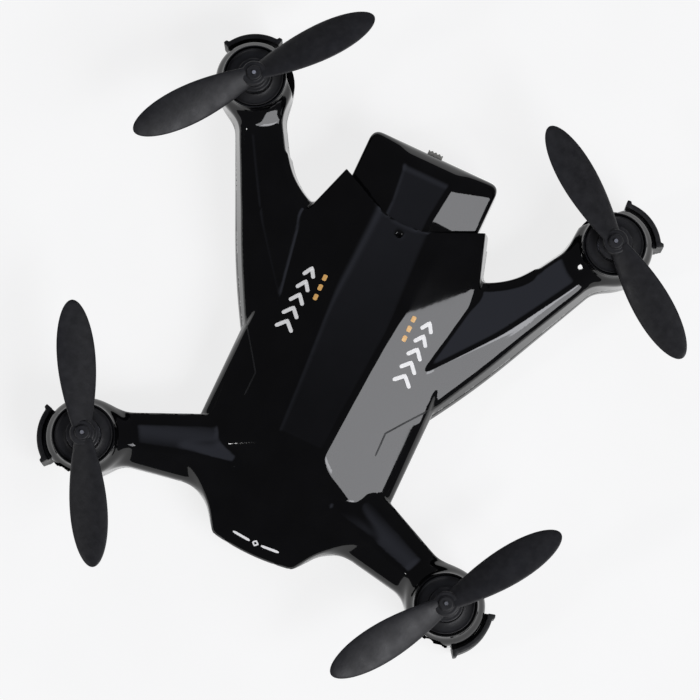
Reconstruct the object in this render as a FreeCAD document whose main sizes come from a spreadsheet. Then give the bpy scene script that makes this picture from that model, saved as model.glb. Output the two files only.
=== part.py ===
import FreeCAD, Part
import os
import Sketcher

# A palm-sized quadcopter: two glossy shell halves that carry four coreless motors with press-on
# propellers, rubber feet, a flight board, and a battery pack that slides out of the tail.
#
# Millimetres. +Z is up and the ground is Z = 0. The nose points along -Y, so +X is the aircraft's left.
# The origin is on the ground, below the middle of the square that the four motors stand on.

App = FreeCAD

# Driving dimensions, one spreadsheet cell each.
SIZES = {
    # the whole aircraft
    "motor_square": 82.0,       # distance between neighbouring motor axes
    "split_level": 7.6,         # where the upper and lower shells meet
    "wall": 1.2,                # shell thickness
    # motor pods
    "pod_radius": 8.2,
    "pod_bottom": 1.2,
    "pod_foot_radius": 6.2,     # underside of a pod
    "pod_waist": 3.6,           # where the underside meets the full radius
    "pod_shoulder": 15.2,       # where a pod starts to narrow
    "pod_neck": 17.6,
    "ring_radius": 6.6,         # rim around the motor cap
    "ring_top": 19.0,
    "cup_radius": 7.0,          # hollow inside a pod
    "cup_floor": 2.4,
    "cup_ceiling": 15.0,
    "sleeve_radius": 4.7,       # wall that holds the motor
    # arms: distances of the two edges from the pod axis, and how much they widen per millimetre
    "rear_arm_angle": 239.0,
    "rear_arm_reach": 56.0,
    "rear_arm_outer": 2.2,
    "rear_arm_inner": 4.0,
    "rear_arm_rise": 6.0,
    "front_arm_angle": 163.0,
    "front_arm_reach": 28.0,
    "front_arm_outer": 2.6,
    "front_arm_inner": 5.7,
    "front_arm_rise": 5.4,
    "arm_widening": 0.12,
    "arm_drop": 3.6,            # depth of an arm below the split
    "arm_draft": 14.0,          # slope of an arm's sides, degrees
    "arm_side_wall": 2.3,       # at the root of the sloping side
    "arm_roof": 1.8,
    "hollow_start": 9.5,
    "rear_hollow_end": 30.0,
    "front_hollow_end": 20.0,
    "channel_start": 5.0,
    "channel_half": 2.0,
    "channel_depth": 3.0,
    "rear_channel_end": 52.0,
    "front_channel_end": 30.0,
    # motors
    "motor_radius": 3.5,
    "motor_top": 18.0,
    "motor_boss_radius": 1.2,   # bearing boss on top of a motor
    "end_bell_radius": 3.3,
    "end_bell_top": 4.0,
    "cap_radius": 6.1,
    "cap_top": 18.6,
    "shaft_radius": 0.4,
    "shaft_clearance": 0.05,
    "shaft_bottom": 4.6,
    "shaft_top": 24.4,
    # propellers
    "propeller_radius": 27.5,
    "hub_flange_radius": 3.5,
    "hub_flange_bottom": 20.3,
    "hub_flange_top": 21.0,
    "hub_radius": 2.6,
    "hub_shoulder": 23.2,
    "hub_top": 24.0,
    "hub_crown_radius": 1.5,
    "blade_level": 22.4,
    # feet
    "foot_inner_radius": 8.2,
    "foot_groove_radius": 8.9,
    "foot_outer_radius": 10.0,
    "foot_tread_radius": 9.4,
    "foot_span": 72.0,          # arc of a foot around its pod, degrees
    "foot_top": 12.8,
    "foot_groove_depth": 2.5,
    "foot_tread_height": 1.6,
    # battery bay and pack
    "bay_front": 2.8,
    "bay_gap": 0.3,
    "bulkhead": 1.8,
    "tail_end": 31.3,
    "tail_ear_depth": 0.3,      # the curved rear edge, from the ears to the middle
    "tail_wing": 28.8,
    "tail_wing_half": 10.0,
    "tail_ridge": 26.7,
    "tail_ridge_half": 5.3,
    "tail_middle": 26.3,
    "lower_tail_end": 30.0,
    "pack_front": 3.4,
    "pack_rear": 42.6,
    "pack_half": 14.4,
    "pack_bottom": 4.0,
    "pack_side": 13.6,
    "pack_ridge": 6.3,
    "pack_top": 17.2,
    "pack_split": 9.0,
    "pack_wall": 1.0,
    "pack_rear_wall": 1.2,
    "pack_bevel": 3.4,          # length of the slanting rear edge
    "pack_bevel_level": 13.2,
    "pack_bevel_wall": 0.6,
    "cell_half": 12.0,
    "cell_front": 5.2,
    "cell_rear": 35.0,
    "cell_top": 12.8,
    "contact_half": 3.0,        # inner edge of a contact, from the middle
    "contact_width": 2.0,
    "contact_root": -5.0,
    "contact_reach": 0.2,       # how far a contact reaches into the bay
    "contact_top": 12.0,
    "contact_pad": 0.2,         # thickness of a pad on the pack
    "contact_pad_margin": 0.6,
    "contact_pad_gap": 0.2,     # from the pack's parting plane to a pad
    "contact_opening_half": 8.0,
    "contact_opening_top": 13.4,
    "contact_opening_start": 3.8,
    "contact_opening_length": 14.8,
    # power switch in the rear face of the pack
    "switch_level": 11.0,
    "knob_middle": -0.6,
    "knob_half": 1.6,
    "knob_half_height": 0.9,
    "knob_travel": 1.2,
    "knob_gap": 0.15,
    "knob_root_gap": 0.1,
    "knob_proud": 1.0,
    "switch_half": 4.2,
    "switch_half_height": 1.7,
    "switch_depth": 2.6,
    "switch_clearance": 0.2,
    "switch_bay_front": 33.4,
    "switch_bay_half": 6.2,
    "protection_half": 6.0,
    "protection_thickness": 0.8,
    # flight board
    "board_half": 13.0,
    "board_front": -38.0,
    "board_rear": -3.0,
    "board_bottom": 7.6,
    "board_thickness": 0.8,
    "antenna_place": 11.0,
    "antenna_radius": 0.3,
    "antenna_length": 30.0,
    # screws
    "screw_radius": 0.7,
    "screw_hole_radius": 0.85,
    "screw_head_radius": 1.5,
    "screw_seat": 5.2,
    "screw_head": 1.1,
    "screw_tip": 12.0,
    "boss_radius": 2.1,
    "arm_boss_rise": 5.0,
    "hull_boss_rise": 4.6,
    "rear_screw_place": 24.0,
    "front_screw_place": 15.0,
    "hull_screw_half": 17.2,
    "hull_screw_place": -12.0,
    "arm_screw_aside": 3.4,     # distance of an arm's screw from the wires
    # wires
    "lead_radius": 0.35,
    "lead_near": 0.5,           # the two wires, from the line between pod and hull
    "lead_far": 1.4,
    "lead_start": 4.2,
    "front_lead_length": 28.0,
    "rear_lead_length": 52.0,
}

# Cross-sections of the hull from nose to tail. Each: place along Y, half width at the split, level where
# the upright side ends, half width and level of the shoulder, half width and level of the roof,
# half width and level of the belly.
STATION_FIELDS = ("place", "half", "side", "shoulder", "bevel", "ridge", "roof", "keel", "belly")
STATIONS = {
    "nose": (-47.8, 8.2, 8.3, 7.8, 8.8, 5.9, 9.1, 6.4, 5.4),
    "brow": (-41.0, 12.5, 8.9, 11.3, 10.6, 6.1, 11.6, 9.0, 4.2),
    "cheek": (-34.0, 18.5, 9.4, 16.0, 11.6, 6.3, 14.6, 12.0, 3.2),
    "screen": (-17.5, 21.6, 9.8, 19.4, 12.6, 6.5, 18.0, 15.0, 2.6),
    "hip": (-8.0, 21.6, 9.8, 19.4, 12.8, 6.9, 18.7, 15.0, 2.6),
    "flank": (12.0, 20.6, 10.0, 18.4, 13.6, 6.9, 18.8, 15.0, 2.6),
    "ear": (31.3, 16.3, 11.0, 15.8, 15.4, 6.6, 18.6, 14.0, 2.6),
}

CABIN_STATIONS = ("brow", "cheek", "screen", "hip")

# How much of a section's inset its corners take.
SIDE_SHARE = 0.5
SHOULDER_SHARE = 0.9
RIDGE_SHARE = 0.3
KEEL_SHARE = 0.6

CLEAR = 1.0                     # how far a cut reaches past the faces that it opens

# Corners of the aircraft as signs of X and Y, the direction of one blade at rest, and the direction
# that the foot faces on the left-hand side, both in degrees.
CORNERS = {
    "front_left": (1, -1, 56.7),
    "front_right": (-1, -1, 120.0),
    "rear_left": (1, 1, 144.6),
    "rear_right": (-1, 1, 51.0),
}
FOOT_FACES = {"front": -20.0, "rear": 62.0}

# Blade sections: share of the propeller's radius, chord, pitch in degrees and thickness.
BLADE_SECTIONS = (
    (0.05, 3.8, 24.0, 1.2),
    (0.12, 5.2, 24.0, 1.1),
    (0.25, 6.6, 21.0, 1.0),
    (0.45, 7.8, 17.0, 0.9),
    (0.62, 8.1, 14.5, 0.8),
    (0.80, 7.1, 12.0, 0.7),
    (0.91, 5.0, 11.0, 0.6),
    (0.97, 2.9, 10.0, 0.5),
    (1.00, 1.0, 10.0, 0.4),
)
BLADE_CAMBER = 0.03             # height of the hollow underside as a share of the chord

# Chips on the flight board: middle along X and Y, half length, half width and height.
CHIPS = {
    "flight_controller": (0.0, -16.0, 3.5, 3.5, 1.0),
    "radio_chip": (-6.0, -30.0, 2.0, 2.0, 0.9),
    "gyro_chip": (0.0, -24.5, 1.5, 1.5, 0.8),
    "radio_crystal": (-1.0, -32.0, 1.2, 1.6, 0.8),
}

doc = App.newDocument("palm_quadcopter")
sheet = doc.addObject("Spreadsheet::Sheet", "sizes")
sub_parts = []


def fill_sheet():
    """Writes each driving dimension to a cell of its own, with its name as the alias."""
    cells = dict(SIZES)
    for station, values in STATIONS.items():
        for field, value in zip(STATION_FIELDS, values):
            cells[f"{station}_{field}"] = value
    for row, (alias, value) in enumerate(cells.items(), start=1):
        sheet.set(f"A{row}", alias)
        sheet.set(f"B{row}", str(value))
        sheet.setAlias(f"B{row}", alias)
    doc.recompute()


def number(formula):
    """The value of a formula of cell aliases."""
    return float(sheet.evalExpression(str(formula)))


def bind(thing, **formulas):
    """Ties properties to formulas; two underscores in a name stand for a dot."""
    for name, formula in formulas.items():
        thing.setExpression(name.replace("__", "."), str(formula))


# ---------------------------------------------------------------- sketches and features


def new_body(label):
    body = doc.addObject("PartDesign::Body", label)
    body.Label = label
    sub_parts.append(body)
    return body


def new_sketch(body, role, base=(0, 0, 0), turn=0):
    """A sketch on one of the body's origin planes, moved by base and turned in its own plane."""
    sketch = body.newObject("Sketcher::SketchObject", f"{body.Label}_sketch")
    plane = next(f for f in body.Origin.OriginFeatures if f.Role == role)
    sketch.AttachmentSupport = [(plane, "")]
    sketch.MapMode = "FlatFace"
    for axis, formula in zip("xyz", base):
        sketch.setExpression(f"AttachmentOffset.Base.{axis}", str(formula))
    sketch.setExpression("AttachmentOffset.Rotation.Angle", str(turn))
    return sketch


def pin_point(sketch, geometry, point, x, y):
    """Holds a point of the sketch at two formulas."""
    for kind, formula in (("DistanceX", x), ("DistanceY", y)):
        constraint = Sketcher.Constraint(kind, -1, 1, geometry, point, number(formula))
        index = sketch.addConstraint(constraint)
        sketch.setExpression(f"Constraints[{index}]", str(formula))


def polygon(sketch, points):
    """A closed outline of straight lines; each point is a pair of formulas."""
    corners = [App.Vector(number(x), number(y), 0) for x, y in points]
    first = sketch.GeometryCount
    for start, end in zip(corners, corners[1:] + corners[:1]):
        sketch.addGeometry(Part.LineSegment(start, end))
    count = len(points)
    for i in range(count):
        following = first + (i + 1) % count
        sketch.addConstraint(Sketcher.Constraint("Coincident", first + i, 2, following, 1))
    for i, (x, y) in enumerate(points):
        pin_point(sketch, first + i, 1, x, y)


def circle(sketch, x, y, radius):
    centre = App.Vector(number(x), number(y), 0)
    shape = Part.Circle(centre, App.Vector(0, 0, 1), number(radius))
    index = sketch.addGeometry(shape)
    pin_point(sketch, index, 3, x, y)
    held = sketch.addConstraint(Sketcher.Constraint("Radius", index, number(radius)))
    sketch.setExpression(f"Constraints[{held}]", str(radius))


def lens(sketch, chord, thickness):
    """A blade section: two arcs of one sense that meet at the leading and trailing edges."""
    front = App.Vector(-chord / 2, 0, 0)
    rear = App.Vector(chord / 2, 0, 0)
    underside = chord * BLADE_CAMBER
    for height in (underside + thickness, underside):
        sketch.addGeometry(Part.Arc(rear, App.Vector(0, height, 0), front))
    for point in (1, 2):
        sketch.addConstraint(Sketcher.Constraint("Coincident", 0, point, 1, point))
    for arc in (0, 1):
        sketch.addConstraint(Sketcher.Constraint("Block", arc))


def volume_of(body):
    doc.recompute()
    return body.Shape.Volume if body.Tip else 0.0


def changed(body, before, added, name):
    """Stops if a feature did nothing, as one that points away from the solid does."""
    difference = volume_of(body) - before
    if (difference if added else -difference) < 1e-3:
        raise RuntimeError(f"{name} changed nothing in {body.Label}")


def extrude(body, sketch, length, cut=False, back=False, draft=0):
    """A pad or pocket of the sketch. back turns it against the feature's usual direction."""
    before = volume_of(body)
    kind = "Pocket" if cut else "Pad"
    feature = body.newObject(f"PartDesign::{kind}", f"{body.Label}_{kind.lower()}")
    feature.Profile = sketch
    feature.Reversed = back
    bind(feature, Length=length, TaperAngle=draft)
    changed(body, before, not cut, feature.Name)


def revolve(body, sketch, cut=False):
    """Turns the sketch a full turn about its own vertical axis."""
    before = volume_of(body)
    kind = "Groove" if cut else "Revolution"
    feature = body.newObject(f"PartDesign::{kind}", f"{body.Label}_{kind.lower()}")
    feature.Profile = sketch
    feature.ReferenceAxis = (sketch, ["V_Axis"])
    feature.Angle = 360
    changed(body, before, not cut, feature.Name)


def loft(body, sketches, cut=False):
    """A ruled solid through the sketches in order."""
    before = volume_of(body)
    kind = "SubtractiveLoft" if cut else "AdditiveLoft"
    feature = body.newObject(f"PartDesign::{kind}", f"{body.Label}_{kind.lower()}")
    feature.Profile = sketches[0]
    feature.Sections = sketches[1:]
    feature.Ruled = True
    changed(body, before, not cut, feature.Name)
    return feature


def box_body(label, low, high):
    """A block between two corners given as formulas."""
    body = new_body(label)
    sketch = new_sketch(body, "XY_Plane", (0, 0, low[2]))
    polygon(sketch, [(low[0], low[1]), (high[0], low[1]), (high[0], high[1]), (low[0], high[1])])
    extrude(body, sketch, f"({high[2]}) - ({low[2]})")


# ---------------------------------------------------------------- places on the aircraft


def pod_centre(corner):
    x_sign, y_sign, _ = CORNERS[corner]
    return f"{x_sign} * sizes.motor_square / 2", f"{y_sign} * sizes.motor_square / 2"


def end_of(corner):
    return corner.split("_")[0]


def arm_turn(corner):
    """Direction from a pod to its arm's root."""
    angle = f"sizes.{end_of(corner)}_arm_angle"
    return angle if CORNERS[corner][0] > 0 else f"180 - {angle}"


def arm_sketch(body, corner, level):
    """A flat sketch whose origin is the pod's axis and whose X runs along the arm to the hull."""
    x, y = pod_centre(corner)
    return new_sketch(body, "XY_Plane", (x, y, level), arm_turn(corner))


def arm_outline(corner, start, finish, inset):
    """The four corners of an arm, or of its hollow, in the arm's own directions."""
    end = end_of(corner)
    sign = CORNERS[corner][0]
    points = []
    for along, side in ((start, 1), (finish, 1), (finish, -1), (start, -1)):
        edge = f"sizes.{end}_arm_outer" if side > 0 else f"sizes.{end}_arm_inner"
        away = f"({edge} + sizes.arm_widening * ({along}) - {inset})"
        points.append((along, f"{sign * side} * {away}"))
    return points


def channel_outline(corner):
    """The wire channel: a plain rectangle along the arm."""
    half = "sizes.channel_half"
    start, finish = "sizes.channel_start", f"sizes.{end_of(corner)}_channel_end"
    return [(start, f"-{half}"), (finish, f"-{half}"), (finish, half), (start, half)]


def hull_section(body, station, inset, place=None):
    """The upper half of one cross-section of the hull, made smaller by inset."""
    at = {field: f"sizes.{station}_{field}" for field in STATION_FIELDS}
    sketch = new_sketch(body, "XZ_Plane", (0, 0, f"-({place or at['place']})"))
    half = [
        (f"({at['half']} - {inset})", "sizes.split_level"),
        (f"({at['half']} - {inset})", f"{at['side']} - {inset} * {SIDE_SHARE}"),
        (f"({at['shoulder']} - {inset} * {SHOULDER_SHARE})",
         f"{at['bevel']} - {inset} * {SHOULDER_SHARE}"),
        (f"({at['ridge']} - {inset} * {RIDGE_SHARE})", f"{at['roof']} - {inset}"),
    ]
    mirrored = [(f"-{x}", z) for x, z in reversed(half)]
    polygon(sketch, half + mirrored)
    return sketch


def belly_section(body, station, inset, place=None):
    """The lower half of one cross-section of the hull, made smaller by inset."""
    at = {field: f"sizes.{station}_{field}" for field in STATION_FIELDS}
    sketch = new_sketch(body, "XZ_Plane", (0, 0, f"-({place or at['place']})"))
    half = [
        (f"({at['keel']} - {inset} * {KEEL_SHARE})", f"{at['belly']} + {inset}"),
        (f"({at['half']} - {inset})", "sizes.split_level"),
    ]
    mirrored = [(f"-{x}", z) for x, z in reversed(half)]
    polygon(sketch, half + mirrored)
    return sketch


def pack_outline(gap):
    """The pack's cross-section, made larger by gap on every side."""
    half = [
        (f"(sizes.pack_half + {gap})", f"sizes.pack_bottom - {gap}"),
        (f"(sizes.pack_half + {gap})", f"sizes.pack_side + {gap}"),
        (f"(sizes.pack_ridge + {gap})", f"sizes.pack_top + {gap}"),
    ]
    return half + [(f"-{x}", z) for x, z in reversed(half)]


def screw_places():
    """The six screws, as X and Y formulas."""
    places = []
    for corner in CORNERS:
        x, y = pod_centre(corner)
        along = f"sizes.{end_of(corner)}_screw_place"
        aside = f"{-CORNERS[corner][0]} * sizes.arm_screw_aside"
        cosine = f"cos(1deg * ({arm_turn(corner)}))"
        sine = f"sin(1deg * ({arm_turn(corner)}))"
        places.append((f"{x} + {along} * {cosine} - ({aside}) * {sine}",
                       f"{y} + {along} * {sine} + ({aside}) * {cosine}"))
    for sign in (1, -1):
        places.append((f"{sign} * sizes.hull_screw_half", "sizes.hull_screw_place"))
    return places


def circles_body(body, level, places, radius, length, **extrusion):
    """One pad or pocket of equal circles."""
    sketch = new_sketch(body, "XY_Plane", (0, 0, level))
    for x, y in places:
        circle(sketch, x, y, radius)
    extrude(body, sketch, length, **extrusion)


# ---------------------------------------------------------------- shells


def pod_shape(body, corner, outline):
    x, y = pod_centre(corner)
    sketch = new_sketch(body, "XZ_Plane", (x, 0, f"-({y})"))
    polygon(sketch, [(0, outline[0][1])] + outline + [(0, outline[-1][1])])
    revolve(body, sketch)


def arm_hollow(body, corner, depth, back):
    """The hollow of an arm and the wire channel that leads from it into the hull."""
    sketch = arm_sketch(body, corner, "sizes.split_level")
    finish = f"sizes.{end_of(corner)}_hollow_end"
    polygon(sketch, arm_outline(corner, "sizes.hollow_start", finish, "sizes.arm_side_wall"))
    extrude(body, sketch, depth, cut=True, back=back)
    sketch = arm_sketch(body, corner, "sizes.split_level")
    polygon(sketch, channel_outline(corner))
    channel_depth = "min(sizes.channel_depth; sizes.arm_drop - sizes.wall)"
    extrude(body, sketch, channel_depth, cut=True, back=back)


def cut_cabin(body, section):
    """The hollow ahead of the bulkhead, where the flight board lies."""
    sections = [section(body, station, "sizes.wall") for station in CABIN_STATIONS]
    sections.append(section(body, CABIN_STATIONS[-1], "sizes.wall", "sizes.bay_front - sizes.bulkhead"))
    loft(body, sections, cut=True)


def make_upper_shell():
    body = new_body("upper_shell")
    loft(body, [hull_section(body, station, 0) for station in STATIONS])
    pods = [pod_centre(corner) for corner in CORNERS]
    for corner in CORNERS:
        sketch = arm_sketch(body, corner, "sizes.split_level")
        reach = f"sizes.{end_of(corner)}_arm_reach"
        polygon(sketch, arm_outline(corner, 0, reach, 0))
        extrude(body, sketch, f"sizes.{end_of(corner)}_arm_rise", draft="-sizes.arm_draft")
    for corner in CORNERS:
        pod_shape(body, corner, [
            ("sizes.pod_radius", "sizes.split_level"),
            ("sizes.pod_radius", "sizes.pod_shoulder"),
            ("sizes.ring_radius", "sizes.pod_neck"),
            ("sizes.ring_radius", "sizes.ring_top"),
        ])
    cut_cabin(body, hull_section)

    sketch = new_sketch(body, "XZ_Plane", (0, 0, "-sizes.bay_front"))
    polygon(sketch, pack_outline("sizes.bay_gap"))
    extrude(body, sketch, "sizes.pack_rear", cut=True)

    sketch = new_sketch(body, "XY_Plane", (0, 0, "sizes.split_level"))
    half = [
        ("sizes.tail_ridge_half", "sizes.tail_ridge"),
        ("sizes.tail_wing_half", "sizes.tail_wing"),
        ("sizes.pack_half", "sizes.tail_end - sizes.tail_ear_depth"),
        ("sizes.pack_half", f"sizes.tail_end + {CLEAR}"),
    ]
    mirrored = [(f"-{x}", y) for x, y in reversed(half)]
    polygon(sketch, mirrored + [(0, "sizes.tail_middle")] + half)
    extrude(body, sketch, "sizes.ring_top", cut=True, back=True)

    # the opening for the contacts, and the bay between the hull's hollow and the bulkhead
    sketch = new_sketch(body, "XZ_Plane", (0, 0, "-sizes.contact_opening_start"))
    opening = "sizes.contact_opening_half"
    polygon(sketch, [
        (f"-{opening}", "sizes.split_level"),
        (opening, "sizes.split_level"),
        (opening, "sizes.contact_opening_top"),
        (f"-{opening}", "sizes.contact_opening_top"),
    ])
    extrude(body, sketch, "sizes.contact_opening_length", cut=True, back=True)

    ring = new_sketch(body, "XY_Plane", (0, 0, "sizes.split_level"))
    for x, y in pods:
        circle(ring, x, y, "sizes.cup_radius")
        circle(ring, x, y, "sizes.sleeve_radius")
    extrude(body, ring, "sizes.cup_ceiling - sizes.split_level", cut=True, back=True)
    circles_body(body, "sizes.split_level", pods, "sizes.motor_radius", "sizes.ring_top",
                 cut=True, back=True)
    circles_body(body, "sizes.pod_neck", pods, "sizes.cap_radius", "sizes.ring_top",
                 cut=True, back=True)
    for corner in CORNERS:
        depth = f"sizes.{end_of(corner)}_arm_rise - sizes.arm_roof"
        arm_hollow(body, corner, depth, back=True)

    screws = screw_places()
    circles_body(body, "sizes.split_level", screws[:4], "sizes.boss_radius", "sizes.arm_boss_rise")
    circles_body(body, "sizes.split_level", screws[4:], "sizes.boss_radius", "sizes.hull_boss_rise")
    circles_body(body, "sizes.split_level", screws, "sizes.screw_radius",
                 "sizes.screw_tip - sizes.split_level", cut=True, back=True)


def make_lower_shell():
    body = new_body("lower_shell")
    stations = list(STATIONS)
    sections = [belly_section(body, station, 0) for station in stations[:-1]]
    sections.append(belly_section(body, "ear", 0, "sizes.lower_tail_end"))
    loft(body, sections)
    pods = [pod_centre(corner) for corner in CORNERS]
    for corner in CORNERS:
        sketch = arm_sketch(body, corner, "sizes.split_level")
        reach = f"sizes.{end_of(corner)}_arm_reach"
        polygon(sketch, arm_outline(corner, 0, reach, 0))
        extrude(body, sketch, "sizes.arm_drop", back=True, draft="-sizes.arm_draft")
    for corner in CORNERS:
        pod_shape(body, corner, [
            ("sizes.pod_foot_radius", "sizes.pod_bottom"),
            ("sizes.pod_radius", "sizes.pod_waist"),
            ("sizes.pod_radius", "sizes.split_level"),
        ])
    cut_cabin(body, belly_section)

    sketch = new_sketch(body, "XZ_Plane", (0, 0, "-sizes.bay_front"))
    polygon(sketch, pack_outline("sizes.bay_gap"))
    extrude(body, sketch, "sizes.pack_rear", cut=True)

    circles_body(body, "sizes.split_level", pods, "sizes.cup_radius",
                 "sizes.split_level - sizes.cup_floor", cut=True)
    for corner in CORNERS:
        arm_hollow(body, corner, "sizes.arm_drop - sizes.wall", back=False)

    screws = screw_places()
    circles_body(body, "sizes.screw_seat", screws, "sizes.boss_radius",
                 "sizes.split_level - sizes.screw_seat")
    circles_body(body, "sizes.split_level", screws, "sizes.screw_hole_radius",
                 "sizes.split_level", cut=True)
    circles_body(body, "sizes.screw_seat", screws, "sizes.screw_head_radius",
                 "sizes.screw_seat", cut=True)


# ---------------------------------------------------------------- motors, propellers and feet


def round_body(label, corner, outline):
    """A turned piece on a pod's axis; outline holds radius and level formulas."""
    body = new_body(label)
    x, y = pod_centre(corner)
    sketch = new_sketch(body, "XZ_Plane", (0, 0, 0))
    polygon(sketch, outline)
    revolve(body, sketch)
    bind(body, Placement__Base__x=x, Placement__Base__y=y)


def make_motor(corner):
    bore = "sizes.shaft_radius + sizes.shaft_clearance"
    round_body(f"motor_can_{corner}", corner, [
        (bore, "sizes.end_bell_top"),
        ("sizes.motor_radius", "sizes.end_bell_top"),
        ("sizes.motor_radius", "sizes.motor_top"),
        ("sizes.motor_boss_radius", "sizes.motor_top"),
        ("sizes.motor_boss_radius", "sizes.cap_top"),
        (bore, "sizes.cap_top"),
    ])
    round_body(f"motor_end_bell_{corner}", corner, [
        (0, "sizes.cup_floor"),
        ("sizes.end_bell_radius", "sizes.cup_floor"),
        ("sizes.end_bell_radius", "sizes.end_bell_top"),
        (0, "sizes.end_bell_top"),
    ])
    round_body(f"motor_cap_{corner}", corner, [
        ("sizes.motor_radius", "sizes.pod_neck"),
        ("sizes.cap_radius", "sizes.pod_neck"),
        ("sizes.cap_radius", "sizes.cap_top"),
        ("sizes.motor_radius", "sizes.cap_top"),
    ])
    round_body(f"motor_shaft_{corner}", corner, [
        (0, "sizes.shaft_bottom"),
        ("sizes.shaft_radius", "sizes.shaft_bottom"),
        ("sizes.shaft_radius", "sizes.shaft_top"),
        (0, "sizes.shaft_top"),
    ])


def make_propeller(corner):
    """Hub and two blades. Propellers at opposite corners turn the same way."""
    x_sign, y_sign, rest_angle = CORNERS[corner]
    hand = x_sign * y_sign
    body = new_body(f"propeller_{corner}")
    sections = []
    for share, chord, pitch, thickness in BLADE_SECTIONS:
        place = f"sizes.propeller_radius * {share}"
        sketch = new_sketch(body, "YZ_Plane", (0, "sizes.blade_level", place), hand * pitch)
        lens(sketch, chord, thickness)
        sections.append(sketch)
    blade = loft(body, sections)
    pattern = body.newObject("PartDesign::PolarPattern", f"{body.Label}_blades")
    pattern.Originals = [blade]
    axis = next(f for f in body.Origin.OriginFeatures if f.Role == "Z_Axis")
    pattern.Axis = (axis, [""])
    pattern.Angle = 360
    pattern.Occurrences = 2
    body.Tip = pattern
    doc.recompute()
    sketch = new_sketch(body, "XZ_Plane")
    polygon(sketch, [
        (0, "sizes.hub_flange_bottom"),
        ("sizes.hub_flange_radius", "sizes.hub_flange_bottom"),
        ("sizes.hub_flange_radius", "sizes.hub_flange_top"),
        ("sizes.hub_radius", "sizes.hub_flange_top"),
        ("sizes.hub_radius", "sizes.hub_shoulder"),
        ("sizes.hub_crown_radius", "sizes.hub_top"),
        (0, "sizes.hub_top"),
    ])
    revolve(body, sketch)
    circles_body(body, 0, [(0, 0)], "sizes.shaft_radius", "sizes.shaft_top", cut=True, back=True)
    x, y = pod_centre(corner)
    bind(body, Placement__Base__x=x, Placement__Base__y=y, Placement__Rotation__Angle=rest_angle)


def sector(name, radius, low, height, spin, corner):
    """A slice of a cylinder about a pod's axis."""
    piece = doc.addObject("Part::Cylinder", name)
    x, y = pod_centre(corner)
    bind(piece, Radius=radius, Height=height, Angle="sizes.foot_span", Placement__Base__x=x,
         Placement__Base__y=y, Placement__Base__z=low, Placement__Rotation__Angle=spin)
    return piece


def joined(kind, name, base, tool):
    shape = doc.addObject(f"Part::{kind}", name)
    shape.Base = base
    shape.Tool = tool
    return shape


def make_foot(corner):
    """A rubber bumper around the outside of a pod: a curved wall with a groove along its top."""
    x_sign, y_sign, _ = CORNERS[corner]
    face = FOOT_FACES[end_of(corner)]
    face = face if x_sign > 0 else 180 - face
    spin = f"{face} - sizes.foot_span / 2"
    name = f"foot_{corner}"
    tread_height = "sizes.foot_tread_height"
    wall = sector(f"{name}_wall", "sizes.foot_outer_radius", tread_height,
                  f"sizes.foot_top - {tread_height}", spin, corner)
    tread = sector(f"{name}_tread", "sizes.foot_tread_radius", 0, tread_height, spin, corner)
    bore = sector(f"{name}_bore", "sizes.foot_inner_radius", -CLEAR,
                  f"sizes.foot_top + 2 * {CLEAR}", spin, corner)
    groove = sector(f"{name}_groove", "sizes.foot_groove_radius",
                    "sizes.foot_top - sizes.foot_groove_depth",
                    f"sizes.foot_groove_depth + {CLEAR}", spin, corner)
    for tool in (bore, groove):
        bind(tool, Angle=f"sizes.foot_span + 2 * {CLEAR}", Placement__Rotation__Angle=f"{spin} - {CLEAR}")
    solid = joined("Fuse", f"{name}_solid", wall, tread)
    ring = joined("Cut", f"{name}_ring", solid, bore)
    foot = joined("Cut", name, ring, groove)
    foot.Label = name
    sub_parts.append(foot)


# ---------------------------------------------------------------- electronics


def make_leads(corner):
    """Two motor wires that run straight along the arm to the underside of the board."""
    body = new_body(f"motor_leads_{corner}")
    x, y = pod_centre(corner)
    side = CORNERS[corner][0]
    level = "sizes.board_bottom - sizes.lead_radius"
    sketch = new_sketch(body, "YZ_Plane", (0, level, "sizes.lead_start"))
    for aside in ("sizes.lead_near", "sizes.lead_far"):
        circle(sketch, f"{side} * {aside}", 0, "sizes.lead_radius")
    extrude(body, sketch, f"sizes.{end_of(corner)}_lead_length")
    body.AllowCompound = True
    bind(body, Placement__Base__x=x, Placement__Base__y=y,
         Placement__Rotation__Angle=arm_turn(corner))


def make_board():
    top = "sizes.board_bottom + sizes.board_thickness"
    box_body("flight_board", ("-sizes.board_half", "sizes.board_front", "sizes.board_bottom"),
             ("sizes.board_half", "sizes.board_rear", top))
    for label, (x, y, half_length, half_width, height) in CHIPS.items():
        box_body(label, (x - half_length, y - half_width, top),
                 (x + half_length, y + half_width, f"{top} + {height}"))
    antenna = new_body("antenna_wire")
    middle = ("sizes.antenna_place", f"{top} + sizes.antenna_radius", "-sizes.board_front")
    sketch = new_sketch(antenna, "XZ_Plane", middle)
    circle(sketch, 0, 0, "sizes.antenna_radius")
    extrude(antenna, sketch, "sizes.antenna_length", back=True)


def make_bay_contacts():
    """Two brass springs on the bulkhead that press on the pack's pads."""
    body = new_body("bay_contacts")
    board_top = "sizes.board_bottom + sizes.board_thickness"
    sketch = new_sketch(body, "XY_Plane", (0, 0, board_top))
    tip = "sizes.bay_front + sizes.contact_reach"
    root = "sizes.contact_root"
    for side in (-1, 1):
        inner = f"{side} * sizes.contact_half"
        outer = f"{side} * (sizes.contact_half + sizes.contact_width)"
        polygon(sketch, [(inner, root), (outer, root), (outer, tip), (inner, tip)])
    extrude(body, sketch, f"sizes.contact_top - ({board_top})")
    body.AllowCompound = True


# ---------------------------------------------------------------- battery pack


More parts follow.
